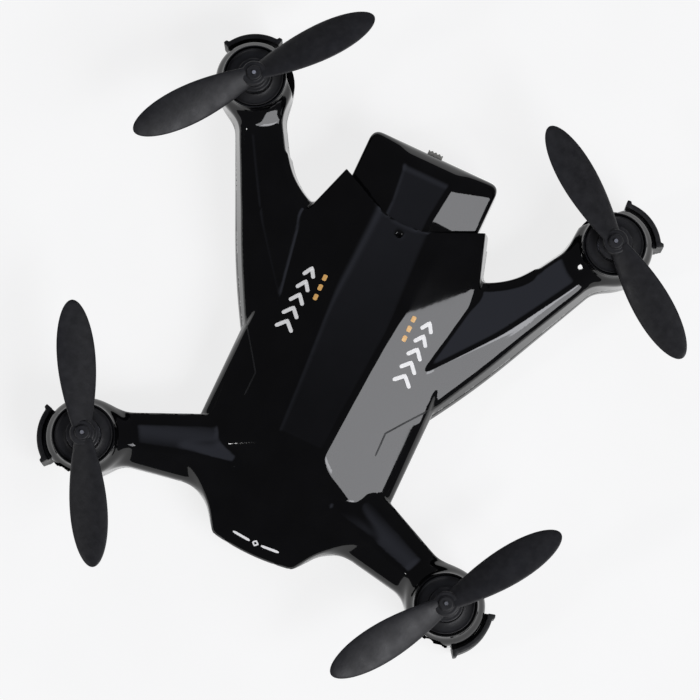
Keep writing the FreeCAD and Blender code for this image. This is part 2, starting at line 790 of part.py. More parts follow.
def half_pack(label, keep_upper):
    """One half of the pack's case: the outer shape, parted at pack_split and hollowed."""
    body = new_body(label)
    sketch = new_sketch(body, "XZ_Plane", (0, 0, "-sizes.pack_front"))
    polygon(sketch, pack_outline(0))
    extrude(body, sketch, "sizes.pack_rear - sizes.pack_front", back=True)

    # slanting upper rear edge
    sketch = new_sketch(body, "YZ_Plane", ("sizes.pack_rear", 0, f"-(sizes.pack_half + {CLEAR})"))
    steepness = "(sizes.pack_top - sizes.pack_bevel_level) / sizes.pack_bevel"
    high = f"sizes.pack_top + {CLEAR} * {steepness}"
    polygon(sketch, [
        (CLEAR, f"sizes.pack_bevel_level - {CLEAR} * {steepness}"),
        (CLEAR, high),
        (f"-(sizes.pack_bevel + {CLEAR})", high),
    ])
    extrude(body, sketch, f"(sizes.pack_half + {CLEAR}) * 2", cut=True, back=True)

    # inside
    sketch = new_sketch(body, "XZ_Plane", (0, 0, "-(sizes.pack_front + sizes.pack_wall)"))
    polygon(sketch, pack_outline("-sizes.pack_wall"))
    length = "sizes.pack_rear - sizes.pack_front - sizes.pack_wall"
    extrude(body, sketch, f"{length} - sizes.pack_bevel - sizes.pack_bevel_wall", cut=True)
    sketch = new_sketch(body, "XZ_Plane", (0, 0, "-sizes.switch_bay_front"))
    low = "sizes.pack_bottom + sizes.pack_wall"
    high = "sizes.switch_level + sizes.switch_half_height + sizes.switch_clearance"
    half = "sizes.switch_bay_half"
    polygon(sketch, [(f"-{half}", low), (half, low), (half, high), (f"-{half}", high)])
    extrude(body, sketch, "sizes.pack_rear - sizes.switch_bay_front - sizes.pack_rear_wall", cut=True)

    if keep_upper:
        cut_knob_slot(body)

    # parting plane
    sketch = new_sketch(body, "XY_Plane", (0, 0, "sizes.pack_split"))
    half = f"(sizes.pack_half + {CLEAR})"
    front = f"sizes.pack_front - {CLEAR}"
    rear = f"sizes.pack_rear + {CLEAR}"
    polygon(sketch, [(f"-{half}", front), (half, front), (half, rear), (f"-{half}", rear)])
    extrude(body, sketch, "sizes.pack_top", cut=True, back=not keep_upper)


def cut_knob_slot(body):
    """The slot for the switch knob, wide enough for its travel."""
    sketch = new_sketch(body, "XZ_Plane", (0, 0, "-(sizes.pack_rear - sizes.pack_rear_wall)"))
    reach = "(sizes.knob_half + sizes.knob_travel / 2 + sizes.knob_gap)"
    low = "sizes.switch_level - sizes.knob_half_height - sizes.knob_gap"
    high = "sizes.switch_level + sizes.knob_half_height + sizes.knob_gap"
    polygon(sketch, [(f"-{reach}", low), (reach, low), (reach, high), (f"-{reach}", high)])
    extrude(body, sketch, f"sizes.pack_rear_wall + {CLEAR}", cut=True)


def make_pack_contacts():
    """Two brass pads on the front face of the pack, where the bay's springs meet them."""
    body = new_body("pack_contacts")
    sketch = new_sketch(body, "XZ_Plane", (0, 0, "-sizes.pack_front"))
    low = "sizes.pack_split + sizes.contact_pad_gap"
    high = "sizes.contact_top"
    for side in (-1, 1):
        inner = f"{side} * (sizes.contact_half - sizes.contact_pad_margin)"
        outer = f"{side} * (sizes.contact_half + sizes.contact_width + sizes.contact_pad_margin)"
        polygon(sketch, [(inner, low), (outer, low), (outer, high), (inner, high)])
    extrude(body, sketch, "sizes.contact_pad")
    body.AllowCompound = True


def make_switch():
    rear = "sizes.pack_rear - sizes.pack_rear_wall"
    front = f"{rear} - sizes.switch_depth"
    low = "sizes.switch_level - sizes.switch_half_height"
    high = "sizes.switch_level + sizes.switch_half_height"
    box_body("switch_housing", ("-sizes.switch_half", front, low), ("sizes.switch_half", rear, high))
    box_body("protection_board",
             ("-sizes.protection_half", f"{front} - sizes.protection_thickness", low),
             ("sizes.protection_half", front, high))
    box_body("switch_knob",
             ("sizes.knob_middle - sizes.knob_half", f"{rear} + sizes.knob_root_gap",
              "sizes.switch_level - sizes.knob_half_height"),
             ("sizes.knob_middle + sizes.knob_half", "sizes.pack_rear + sizes.knob_proud",
              "sizes.switch_level + sizes.knob_half_height"))


def make_cell():
    box_body("battery_cell",
             ("-sizes.cell_half", "sizes.cell_front", "sizes.pack_bottom + sizes.pack_wall"),
             ("sizes.cell_half", "sizes.cell_rear", "sizes.cell_top"))


def make_screws():
    body = new_body("shell_screws")
    places = screw_places()
    circles_body(body, "sizes.screw_seat - sizes.screw_head", places, "sizes.screw_head_radius",
                 "sizes.screw_head")
    circles_body(body, "sizes.screw_seat", places, "sizes.screw_radius",
                 "sizes.screw_tip - sizes.screw_seat")


# ---------------------------------------------------------------- the whole aircraft


def check_document():
    """Stops on any object that failed, and on a sub-part without a valid solid."""
    for thing in doc.Objects:
        if {"Invalid", "Error"} & set(thing.State):
            raise RuntimeError(f"{thing.Name} failed: {thing.State}")
    for piece in sub_parts:
        shape = piece.Shape
        if shape.isNull() or not shape.isValid() or not shape.Solids:
            raise RuntimeError(f"{piece.Label} has no valid solid: {shape.isNull()}, {len(shape.Solids)}")


def write_parts():
    os.makedirs("parts", exist_ok=True)
    for piece in sub_parts:
        piece.Shape.exportStep(f"parts/{piece.Label}.step")


def main():
    fill_sheet()
    make_upper_shell()
    make_lower_shell()
    for corner in CORNERS:
        make_motor(corner)
        make_propeller(corner)
        make_foot(corner)
        make_leads(corner)
    make_board()
    make_bay_contacts()
    half_pack("pack_case_upper", keep_upper=True)
    half_pack("pack_case_lower", keep_upper=False)
    make_pack_contacts()
    make_switch()
    make_cell()
    make_screws()
    doc.recompute()
    check_document()
    write_parts()


main()
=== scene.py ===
import math

import bpy
import numpy as np
from mathutils import Matrix, Vector


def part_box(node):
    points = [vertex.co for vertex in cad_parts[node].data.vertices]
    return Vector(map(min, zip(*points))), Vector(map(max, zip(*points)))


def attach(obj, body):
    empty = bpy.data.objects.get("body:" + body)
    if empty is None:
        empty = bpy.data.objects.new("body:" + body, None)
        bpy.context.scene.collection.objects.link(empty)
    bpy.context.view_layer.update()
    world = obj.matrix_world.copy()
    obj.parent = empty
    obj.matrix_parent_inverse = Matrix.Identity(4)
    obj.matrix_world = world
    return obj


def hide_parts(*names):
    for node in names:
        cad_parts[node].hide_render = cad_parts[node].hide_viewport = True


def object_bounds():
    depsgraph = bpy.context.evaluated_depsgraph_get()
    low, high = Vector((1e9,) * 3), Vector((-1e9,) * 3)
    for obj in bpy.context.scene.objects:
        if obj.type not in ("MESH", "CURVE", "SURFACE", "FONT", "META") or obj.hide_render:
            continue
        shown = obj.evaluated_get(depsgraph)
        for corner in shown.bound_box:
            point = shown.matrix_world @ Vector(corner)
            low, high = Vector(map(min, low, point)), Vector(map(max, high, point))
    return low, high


# A palm-sized quadcopter. Its nose points along -Y and its left side is at +X.
#
# Lengths are millimetres until a mesh is made, then metres. Most pieces are made from a field: a function
# of x, y and z that is negative inside the piece, built from planes, cylinders and smooth unions.
# mesh_from_field turns it into quads whose vertices lie on the surface and on its creases.

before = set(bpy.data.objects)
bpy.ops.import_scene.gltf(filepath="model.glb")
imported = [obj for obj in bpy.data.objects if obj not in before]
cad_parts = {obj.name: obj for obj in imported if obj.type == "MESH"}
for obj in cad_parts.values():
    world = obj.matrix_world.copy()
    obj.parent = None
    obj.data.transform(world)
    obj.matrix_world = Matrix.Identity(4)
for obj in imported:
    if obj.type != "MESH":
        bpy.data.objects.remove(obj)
cad_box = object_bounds()
MM = 0.001
X, Y, Z = range(3)


def extent(node, axis):
    """Where a CAD node starts and ends along an axis, in millimetres."""
    low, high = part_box(node)
    return round(low[axis] / MM, 3), round(high[axis] / MM, 3)


# The left half has x above 0, and the rear half y above 0.
CORNERS = {
    "front_left": (1, -1),
    "front_right": (-1, -1),
    "rear_left": (1, 1),
    "rear_right": (-1, 1),
}
MOTOR = sum(extent("motor_shaft_rear_left", X)) / 2     # distance of a motor's axis from both middle planes
SPLIT, SHELL_TOP = extent("upper_shell", Z)             # the shells meet at SPLIT
SEAM = 0.07                                             # half of the gap between two parts of a case
WALL = 1.2
PACK_SIDE = extent("pack_case_lower", X)[1]
PACK_FRONT, PACK_REAR = extent("pack_case_lower", Y)
PACK_FLOOR, PACK_SPLIT = extent("pack_case_lower", Z)
PACK_TOP = extent("pack_case_upper", Z)[1]


# ---------------------------------------------------------------- fields


def both(a, b, radius=0.0):
    """Inside both fields, with the edge between them rounded."""
    joint = np.maximum(a, b)
    if np.any(radius):
        near = np.maximum(radius - np.abs(a - b), 0)
        joint = joint + near * near / (4 * radius)
    return joint


def either(a, b, radius=0.0):
    """Inside either field, with a fillet between them."""
    return -both(-a, -b, radius)


def all_of(radius, *fields):
    """Inside every field, with the edges between them rounded."""
    result = fields[0]
    for field in fields[1:]:
        result = both(result, field, radius)
    return result


def below(x, y, z, at, along_x=0.0, along_y=0.0):
    """Under a sloping plane that passes through the point at."""
    level = at[2] + along_x * (x - at[0]) + along_y * (y - at[1])
    return (z - level) / math.sqrt(1 + along_x ** 2 + along_y ** 2)


def soft_positive(value, radius):
    """Zero for negative values, the value itself for positive ones, with a soft bend of that radius."""
    return (value + np.sqrt(value * value + radius * radius)) / 2


def ramp(value, start, end):
    """From 0 at start to 1 at end, smoothly."""
    share = np.clip((value - start) / (end - start), 0, 1)
    return share * share * (3 - 2 * share)


def behind_line(x, y, z, start, end, lean=0.0, level=9.5):
    """On the left of a line seen from above.

    The face meets the line at the given level, and lean moves it inwards by that much per millimetre up."""
    dx, dy = end[0] - start[0], end[1] - start[1]
    length = math.hypot(dx, dy)
    away = (dy * (x - start[0]) - dx * (y - start[1])) / length
    return (away + lean * (z - level)) / np.sqrt(1 + lean ** 2)


def chamfered(top, side, width, tilt, crease=0.25):
    """Under a top and inside a side, with a flat of that width and tilt in degrees along their edge."""
    tilt = math.radians(tilt)
    flat = top * math.cos(tilt) + (side + width) * math.sin(tilt)
    return both(np.maximum(top, side), flat, crease)


def from_axis(x, y, centre=(0.0, 0.0)):
    """Distance from an upright axis."""
    return np.hypot(x - centre[0], y - centre[1])


def from_motor(x, y):
    """Distance from the nearer motor axis of the left half."""
    return from_axis(x, np.abs(y), (MOTOR, MOTOR))


def mesh_from_field(field, low, high, step, mirror=False):
    """Vertices and quads of the surface where field is zero, by dual contouring.

    Each cell that the surface crosses gets the point that fits the surface's tangent planes there best.
    With mirror, only the half with x above 0 is made, and then reflected."""
    low = np.array(low, float)
    high = np.array(high, float)
    if mirror:
        low[0] = -1.5 * step            # the middle of the second column of cells is then at x = 0
    counts = np.ceil((high - low) / step).astype(int) + 1
    axes = [low[k] + step * np.arange(counts[k]) for k in range(3)]
    grid = field(axes[0][:, None, None], axes[1][None, :, None], axes[2][None, None, :])
    grid = np.broadcast_to(grid, counts)
    inside = grid < 0
    cell_shape = counts - 1

    owners, points = [], []
    for k in range(3):
        first = [slice(None)] * 3
        second = [slice(None)] * 3
        first[k] = slice(None, -1)
        second[k] = slice(1, None)
        crossing = np.argwhere(inside[tuple(first)] != inside[tuple(second)])
        others = [n for n in range(3) if n != k]
        inner = np.all((crossing[:, others] > 0) & (crossing[:, others] < counts[others] - 1), axis=1)
        crossing = crossing[inner]
        step_k = np.zeros(3, int)
        step_k[k] = 1
        a = grid[tuple(crossing.T)]
        b = grid[tuple((crossing + step_k).T)]
        place = low + step * crossing
        place[:, k] += step * a / (a - b)
        around = []
        for p, q in ((-1, -1), (0, -1), (0, 0), (-1, 0)):
            cell = crossing.copy()
            cell[:, others[0]] += p
            cell[:, others[1]] += q
            around.append(np.ravel_multi_index(cell.T, cell_shape))
        around = np.stack(around, 1)
        flipped = (a < 0) != (k == 1)
        around[~flipped] = around[~flipped][:, ::-1]
        owners.append(around.ravel())
        points.append(np.repeat(place, 4, axis=0))
    owners = np.concatenate(owners)
    points = np.concatenate(points)
    normals = np.repeat(gradient(field, points[::4], 0.05 * step), 4, axis=0)
    cells, place_in_cells = np.unique(owners, return_inverse=True)
    corner = low + step * np.stack(np.unravel_index(cells, cell_shape), 1)
    vertices = fitted_points(points, normals, place_in_cells, len(cells))
    vertices = np.clip(vertices, corner, corner + step)
    faces = place_in_cells.reshape(-1, 4)
    if mirror:
        vertices, faces = mirrored_half(vertices, faces, cells, cell_shape)
    return vertices, faces


def gradient(field, points, reach):
    """Unit vectors along which the field rises, from its values a short reach away on each side."""
    slopes = []
    for k in range(3):
        shift = np.zeros(3)
        shift[k] = reach
        slopes.append(field(*(points + shift).T) - field(*(points - shift).T))
    slopes = np.stack(slopes, 1)
    return slopes / np.maximum(np.linalg.norm(slopes, axis=1, keepdims=True), 1e-12)


def fitted_points(points, normals, owner, count, pull=0.03):
    """For each of count cells, the point that fits the tangent planes at the points which the cell owns.

    pull draws it towards the middle of those points, so that flat places don't drift."""
    def gathered(values):
        return np.bincount(owner, weights=values, minlength=count)

    share = gathered(np.ones(len(owner)))
    middle = np.stack([gathered(points[:, k]) / share for k in range(3)], 1)
    relative = points - middle[owner]
    matrix = np.empty((count, 3, 3))
    for i in range(3):
        for j in range(3):
            matrix[:, i, j] = gathered(normals[:, i] * normals[:, j])
    matrix += pull * share[:, None, None] * np.eye(3)
    offset = np.sum(normals * relative, axis=1)
    wanted = np.stack([gathered(normals[:, k] * offset) for k in range(3)], 1)
    return middle + np.linalg.solve(matrix, wanted[:, :, None])[:, :, 0]


def mirrored_half(vertices, faces, cells, cell_shape):
    """Keeps the cells from the one that the plane x = 0 runs through, and adds their reflection."""
    column = np.unravel_index(cells, cell_shape)[0]
    vertices[column == 1, 0] = 0
    faces = faces[np.all(column[faces] >= 1, axis=1)]
    faces = faces[~np.all(column[faces] == 1, axis=1)]
    other = np.arange(len(vertices))
    moved = column > 1
    other[moved] = len(vertices) + np.arange(moved.sum())
    reflected = vertices[moved] * (-1, 1, 1)
    faces = np.concatenate([faces, other[faces][:, ::-1]])
    return np.concatenate([vertices, reflected]), faces


def new_object(name, vertices, faces, smooth=True, sharp=35):
    """A mesh object from vertices in millimetres. Edges that bend more than sharp degrees stay sharp."""
    used, faces = np.unique(faces, return_inverse=True)
    faces = faces.reshape(-1, 4)
    mesh = bpy.data.meshes.new(name)
    mesh.from_pydata((np.asarray(vertices)[used] * MM).tolist(), [], faces.tolist())
    mesh.validate()
    mesh.update()
    if smooth:
        mesh.shade_smooth()
        mesh.set_sharp_from_angle(angle=math.radians(sharp))
    piece = bpy.data.objects.new(name, mesh)
    bpy.context.scene.collection.objects.link(piece)
    return piece


# ---------------------------------------------------------------- airframe

# Facets of the shell's left half: a point on each, and its rise per millimetre towards +X and +Y.
FACETS = {
    "roof_front": ((0, 6, 18.75), 0, 0.016),
    "roof_rear": ((0, 6, 18.75), 0, -0.008),
    "hood": ((0, -24.0, 18.28), 0, 0.40),
    "cheek": ((5.3, -25.0, 18.23), -0.27, 0.40),
    "flank": ((7, 6, 18.7), -0.441, 0.0392),
    "ear": ((7, 6, 18.7), -0.270, -0.0163),
    "shelf": ((15.3, -19.5, 14.04), -0.52, 0.0392),
    "bevel": ((19.3, -15, 12.3), -0.85, 0.0392),
    "rear_arm_inside": ((18.5, 11.0, 13.8), 0.126, -0.067),
    "rear_arm_outside": ((16.3, -4.15, 14.1), -0.335, 0.2264),
    "front_arm": ((16, -26.3, 13.8), 0.06, 0.02),
}

# Sides of the left half: start and end of their line seen from above, lean, and the level of the line.
SIDES = {
    "nose": ((8.9, -47.3), (21.7, -29.0), 0.1, 9.5),
    "ear": ((20.3, 19.2), (16.4, 31.2), 0.1, 13.0),
    "notch": ((31.4, 35.8), (28.3, 30.7), 0.12, 8.0),
    "front_arm_front": ((21.7, -41.0), (32.1, -42.9), 0.0, 9.5),
    "front_arm_rear": ((36.1, -32.6), (22.2, -26.3), 0.05, 6.0),
}

# Hull
CREASE = 0.35                   # radius of the creases between facets
SOFT_CREASE = 0.5               # radius of the creases in the roof and in the front slope
EDGE = 0.6                      # radius of the edges between facets and sides
BELLY_EDGE = 1.5
SHELF_END = -6.0                # behind its end the shelf fades out by SHELF_FADE per millimetre
SHELF_FADE = 0.3
BEVEL_END = -10.0
BEVEL_FADE = 0.6
HALF_WIDTH = 21.95
SIDE_LEAN = 0.35                # above SIDE_LEAN_START
SIDE_LEAN_START = 8.5
NOSE = -48.2
NOSE_BOW = 0.0105
NOSE_STRETCH = 1.02             # makes up for the bow, so that the nose's field stays close to a distance
BELLY = 2.6
BELLY_RISE = 0.14               # ahead of BELLY_RISE_START
BELLY_RISE_START = -25.0
CHIN = (-45.0, 4.6)             # y and z of a point on the chin
CHIN_SLOPE = 0.9
KEEL = 15.5                     # half width of the flat belly
KEEL_SLOPE = 0.967
FLANK_DIP_FROM = (6.5, 7.0)     # the flank dips a little behind a slanting line through this point
FLANK_DIP_SLANT = 1.17
FLANK_DIP = 0.05
FLANK_DIP_RADIUS = 2.0

# Arms
ARM_BOTTOM = 4.0
ARM_EDGE = 3.0                  # radius of the lower edges
ARM_SHOULDER = 0.3              # radius where an arm's top meets the rest of it
ARM_CREASE = 0.4
REAR_ARM_ROOT = -18.0           # y of its end inside the hull
FRONT_ARM_ROOT = 12.0           # x of its end inside the hull
REAR_ARM_CORNERS = ((17.6, -13.6), (27.0, 1.0), (40.2, 29.0))    # its outside edge seen from above
REAR_ARM_LEANS = (0.28, 0.15)   # lean of its outside at the root and at the pod
REAR_ARM_LEVEL = 6.0
REAR_ARM_KNEE = 1.5             # radius of the bend in its outside edge
REAR_ARM_BEND = 14.0            # its top facets bend at this y: the inner one rises behind it,
REAR_ARM_RISE = 0.0008          # and the outer one dips ahead of it
REAR_ARM_DIP = 0.07
REAR_ARM_DIP_RADIUS = 1.5
REAR_ARM_CHAMFER = (0.9, 24)    # width, and tilt in degrees, along its outside
NOTCH_CENTRE = (12.5, 40.6)     # the notch between tail and rear arm is an arc
NOTCH_RADIUS = 18.4
NOTCH_LEAN = 0.12
NOTCH_LEVEL = 8.0
NOTCH_END = 30.0
NOTCH_FILLET = 1.0
NOTCH_CHAMFER = (0.5, 1.2)      # its width at the pod, and how much wider it is in the notch
NOTCH_CHAMFER_TILT = 35
NOTCH_CHAMFER_CHANGE = (27, 31)     # y where it starts to get narrower, and where it has
FRONT_ARM_LINE = ((14.0, -33.6), (36.0, -40.8))
FRONT_ARM_CROWN = 0.022
FRONT_ARM_CHAMFER = (2.2, 22)
FRONT_ARM_EDGE = 1.2
FRONT_SLOPE = ((17.1, -35.6, 12.6), (-0.232, -0.650, 0.724))     # a point on it, and where it faces

# Pods
POD_RADIUS = 8.2
POD_MIDDLE = 8.75
POD_HALF_HEIGHT = 7.55
POD_EDGE = 3.4
RIM_RADIUS = 6.6
CAP_SEAT = extent("motor_cap_rear_left", Z)[0]
NECK_BOTTOM = 8.0
NECK_TOP = CAP_SEAT - 0.3
NECK_EDGE = 0.25
NECK_FILLET = 1.2
CAP_SEAT_RADIUS = 6.15
MOTOR_BORE = 3.55
MOTOR_BORE_FLOOR = 2.5
SLEEVE_RADIUS = 4.7

# Fillets between the parts of the airframe
ARMS_FILLET = 0.6
POD_FILLET = 3.2
HULL_FILLET = 0.35
NOSE_FILLET = (4.6, 29, 35)     # how much more it is at the nose, and from which to which -y it grows
TAIL_FILLET = (0.9, 16, 21)     # the same in the notch, for y

# Tail and battery bay
TAIL_MIDDLE = 26.4
TAIL_BOW = 0.0142
EAR_START = (5.3, 26.8)
EAR_SLANT = 0.516
EAR_FILLET = 1.2
DIMPLE = (0, 23.8, 18.75)
DIMPLE_RADIUS = 0.6
TAIL_OPENING = (18.5, 30.0)     # half width and front of the gap in the lower shell's tail
TRIM_EDGE = 0.15                # radius of the shells' cut edges
BAY_GAP = 0.3
BAY_FRONT = 2.8
BAY_WALL_FRONT = 1.0
HOLLOW_EDGE = 0.4
SHOULDER = 6.3                  # half width of the pack's flat top
PACK_EDGE = 13.6                # level where the pack's shoulders meet its sides
SHOULDER_DROP = (PACK_TOP - PACK_EDGE) / (PACK_SIDE - SHOULDER)
SHOULDER_RISE = 0.05            # towards the pack's rear, over SHOULDER_RISE_LENGTH
SHOULDER_RISE_LENGTH = 13.0
PACK_CREASE = 0.4

# Screws
FLANK_SCREW = (17.2, -12.0)
ARM_SCREWS = ((-1, 163.0, 15.0), (1, 239.0, 24.0))  # front or rear, direction of the arm, way from the motor
SCREW_ASIDE = 3.4               # from the arm's middle line
SCREW_HEAD_RADIUS = 1.6
SCREW_HEAD_LEVEL = 5.2
SCREW_THREAD_RADIUS = 0.85


def facet(name, x, y, z):
    return below(x, y, z, *FACETS[name])


def side_of(name, x, y, z):
    return behind_line(x, y, z, *SIDES[name])


def roof(x, y, z):
    """The flat top of the hull, which tips a little forward ahead of the middle."""
    return both(facet("roof_front", x, y, z), facet("roof_rear", x, y, z), SOFT_CREASE)


def hull(x, y, z):
    """The body without its arms: facets that meet at creases. x is at least 0 here."""
    behind = y - FLANK_DIP_FROM[1] - FLANK_DIP_SLANT * (x - FLANK_DIP_FROM[0])
    flank = facet("flank", x, y, z + FLANK_DIP * soft_positive(behind, FLANK_DIP_RADIUS))
    shelf = facet("shelf", x, y, z) - SHELF_FADE * np.maximum(y - SHELF_END, 0)
    bevel = facet("bevel", x, y, z) - BEVEL_FADE * np.maximum(y - BEVEL_END, 0)
    side = x - HALF_WIDTH + SIDE_LEAN * (z - SIDE_LEAN_START) * (z > SIDE_LEAN_START)
    nose = (NOSE + NOSE_BOW * x * x - y) / NOSE_STRETCH
    chin = (CHIN[1] - z - CHIN_SLOPE * (y - CHIN[0])) / math.hypot(1, CHIN_SLOPE)
    belly = BELLY - z + BELLY_RISE * np.maximum(BELLY_RISE_START - y, 0)
    keel = (KEEL_SLOPE * (x - KEEL) - (z - BELLY)) / math.hypot(1, KEEL_SLOPE)
    top = all_of(CREASE, roof(x, y, z), flank, shelf, facet("ear", x, y, z))
    front_slope = both(facet("hood", x, y, z), facet("cheek", x, y, z), SOFT_CREASE)
    upper = both(top, front_slope, CREASE)
    sides = all_of(EDGE, bevel, side, side_of("nose", x, y, z), side_of("ear", x, y, z), nose)
    lower = all_of(BELLY_EDGE, belly, keel, chin)
    return all_of(EDGE, upper, sides, lower)


def rear_arm(x, y, z):
    """Its inner top facet is nearly level, and its outer one carries on the slope of the flank."""
    rise = REAR_ARM_RISE * np.maximum(y - REAR_ARM_BEND, 0) ** 2
    dip = REAR_ARM_DIP * soft_positive(REAR_ARM_BEND - y, REAR_ARM_DIP_RADIUS)
    inside = facet("rear_arm_inside", x, y, z - rise)
    outside = facet("rear_arm_outside", x, y, z + dip)
    root, knee, pod_end = REAR_ARM_CORNERS
    along = np.clip((y - knee[1]) / (pod_end[1] - knee[1]), 0, 1)
    lean = REAR_ARM_LEANS[0] + (REAR_ARM_LEANS[1] - REAR_ARM_LEANS[0]) * along
    outer = both(behind_line(x, y, z, knee, pod_end, lean, REAR_ARM_LEVEL),
                 behind_line(x, y, z, root, knee, lean, REAR_ARM_LEVEL), REAR_ARM_KNEE)
    arc = NOTCH_RADIUS + NOTCH_LEAN * (z - NOTCH_LEVEL) - from_axis(x, y, NOTCH_CENTRE)
    inner = either(side_of("notch", x, y, z), both(arc, y - NOTCH_END), NOTCH_FILLET)
    narrowed = ramp(y, *NOTCH_CHAMFER_CHANGE)
    width = NOTCH_CHAMFER[0] + NOTCH_CHAMFER[1] * (1 - narrowed)
    upper = chamfered(both(inside, outside, ARM_CREASE), outer, *REAR_ARM_CHAMFER)
    upper = chamfered(upper, inner, width, NOTCH_CHAMFER_TILT)
    lower = all_of(ARM_EDGE, ARM_BOTTOM - z, outer, inner, REAR_ARM_ROOT - y, y - MOTOR)
    return both(upper, lower, ARM_SHOULDER)


def front_arm(x, y, z):
    """A crowned top with a slope to the front, which runs into the nose."""
    crown = FRONT_ARM_CROWN * behind_line(x, y, z, *FRONT_ARM_LINE) ** 2
    top = facet("front_arm", x, y, z + crown)
    at, facing = FRONT_SLOPE
    slope = facing[0] * (x - at[0]) + facing[1] * (y - at[1]) + facing[2] * (z - at[2])
    front = side_of("front_arm_front", x, y, z)
    rear = side_of("front_arm_rear", x, y, z)
    fore = both(slope, front, FRONT_ARM_EDGE)
    upper = chamfered(both(top, fore, ARM_CREASE), rear, *FRONT_ARM_CHAMFER)
    lower = all_of(ARM_EDGE, ARM_BOTTOM - z, front, rear, FRONT_ARM_ROOT - x, x - MOTOR)
    return both(upper, lower, ARM_SHOULDER)


def pod(x, y, z):
    """The barrel around a motor, and the neck that carries the rim."""
    away = from_motor(x, y)
    barrel = both(away - POD_RADIUS, np.abs(z - POD_MIDDLE) - POD_HALF_HEIGHT, POD_EDGE)
    neck = all_of(NECK_EDGE, away - RIM_RADIUS, z - NECK_TOP, NECK_BOTTOM - z)
    return either(barrel, neck, NECK_FILLET)


def airframe(x, y, z):
    """The whole outside. The fillet between hull and arms is wide at the nose and in the notch."""
    arms = either(rear_arm(x, y, z), front_arm(x, y, z), ARMS_FILLET)
    arms = either(arms, pod(x, y, z), POD_FILLET)
    at_nose = NOSE_FILLET[0] * ramp(-y, *NOSE_FILLET[1:])
    at_tail = TAIL_FILLET[0] * ramp(y, *TAIL_FILLET[1:])
    return either(hull(x, y, z), arms, HULL_FILLET + at_nose + at_tail)


def tail_edge(x, y):
    """Ahead of the curved rear edge of the shell, which ends in two ears."""
    middle = y - TAIL_MIDDLE - TAIL_BOW * x * x
    ear = (y - EAR_START[1] - EAR_SLANT * (x - EAR_START[0])) / math.hypot(1, EAR_SLANT)
    return either(middle, ear, EAR_FILLET)


def pack_prism(x, y, z, gap=0.0, corner=PACK_CREASE):
    """The long facets of the battery pack, or of the bay around it with a gap."""
    top = z - PACK_TOP - gap
    rising = SHOULDER_RISE * np.clip(PACK_REAR - y, 0, SHOULDER_RISE_LENGTH)
    shoulder = below(x, y, z + rising, (SHOULDER, 0, PACK_TOP + 1.1 * gap), -SHOULDER_DROP)
    side = x - PACK_SIDE - gap
    floor = PACK_FLOOR - gap - z
    return both(both(top, shoulder, PACK_CREASE), all_of(corner, side, floor, shoulder), PACK_CREASE)


def bay(x, y, z):
    return both(pack_prism(x, y, z, BAY_GAP), BAY_FRONT - y)


def motor_wells(x, y, z):
    """The seat of the motor cap and the bore of the motor."""
    away = from_motor(x, y)
    return either(both(away - CAP_SEAT_RADIUS, CAP_SEAT - z), both(away - MOTOR_BORE, MOTOR_BORE_FLOOR - z))


def hollow(x, y, z, outside):
    """The empty inside of the shells, away from the bay's own walls and the motor sleeves."""
    bay_wall = both(pack_prism(x, y, z, BAY_GAP + WALL), BAY_WALL_FRONT - y)
    return all_of(HOLLOW_EDGE, outside + WALL, -bay_wall, SLEEVE_RADIUS - from_motor(x, y))


def screw_places():
    """Axes of the left half's screws: one beside the middle of each arm, and one under the flank."""
    places = [FLANK_SCREW]
    for sign, turn, along in ARM_SCREWS:
        angle = math.radians(turn)
        places.append((MOTOR + along * math.cos(angle) + SCREW_ASIDE * math.sin(angle),
                       sign * MOTOR + along * math.sin(angle) - SCREW_ASIDE * math.cos(angle)))
    return places


SCREWS = screw_places()


def screw_wells(x, y, z):
    """A wide well for each screw's head, and a narrow one for its thread."""
    away = np.minimum.reduce([from_axis(x, y, place) for place in SCREWS])
    head = both(away - SCREW_HEAD_RADIUS, z - SCREW_HEAD_LEVEL)
    thread = both(away - SCREW_THREAD_RADIUS, z - SPLIT)
    return either(head, thread)


def upper_shell_field(x, y, z):
    outside = airframe(x, y, z)
    shell = all_of(TRIM_EDGE, outside, tail_edge(x, y), SPLIT + SEAM - z)
    dimple = DIMPLE_RADIUS - np.sqrt((x - DIMPLE[0]) ** 2 + (y - DIMPLE[1]) ** 2 + (z - DIMPLE[2]) ** 2)
    return all_of(0.0, shell, -hollow(x, y, z, outside), -bay(x, y, z), -motor_wells(x, y, z), dimple)


def lower_shell_field(x, y, z):
    outside = airframe(x, y, z)
    around_opening = either(y - TAIL_OPENING[1], TAIL_OPENING[0] - x)
    shell = all_of(TRIM_EDGE, outside, around_opening, z - SPLIT + SEAM)
    inside = (-hollow(x, y, z, outside), -bay(x, y, z), -motor_wells(x, y, z), -screw_wells(x, y, z))
    return all_of(0.0, shell, *inside)


def make_shells():
    """Both halves. The grids start at front, which leaves the foremost 0.8 mm of the front pods open."""
    step = 0.49
    front, outer, bottom, top = -48.4, 51, 0.2, 20
    low = (0, front, SPLIT - 1.7 * step)
    vertices, faces = mesh_from_field(upper_shell_field, low, (outer, outer, top), step, mirror=True)
    upper = new_object("upper_shell_moulded", vertices, faces)
    high = (outer, outer, SPLIT + 2.3 * step)
    vertices, faces = mesh_from_field(lower_shell_field, (0, front, bottom), high, step, mirror=True)
    lower = new_object("lower_shell_moulded", vertices, faces)
    return upper, lower


# ---------------------------------------------------------------- battery pack

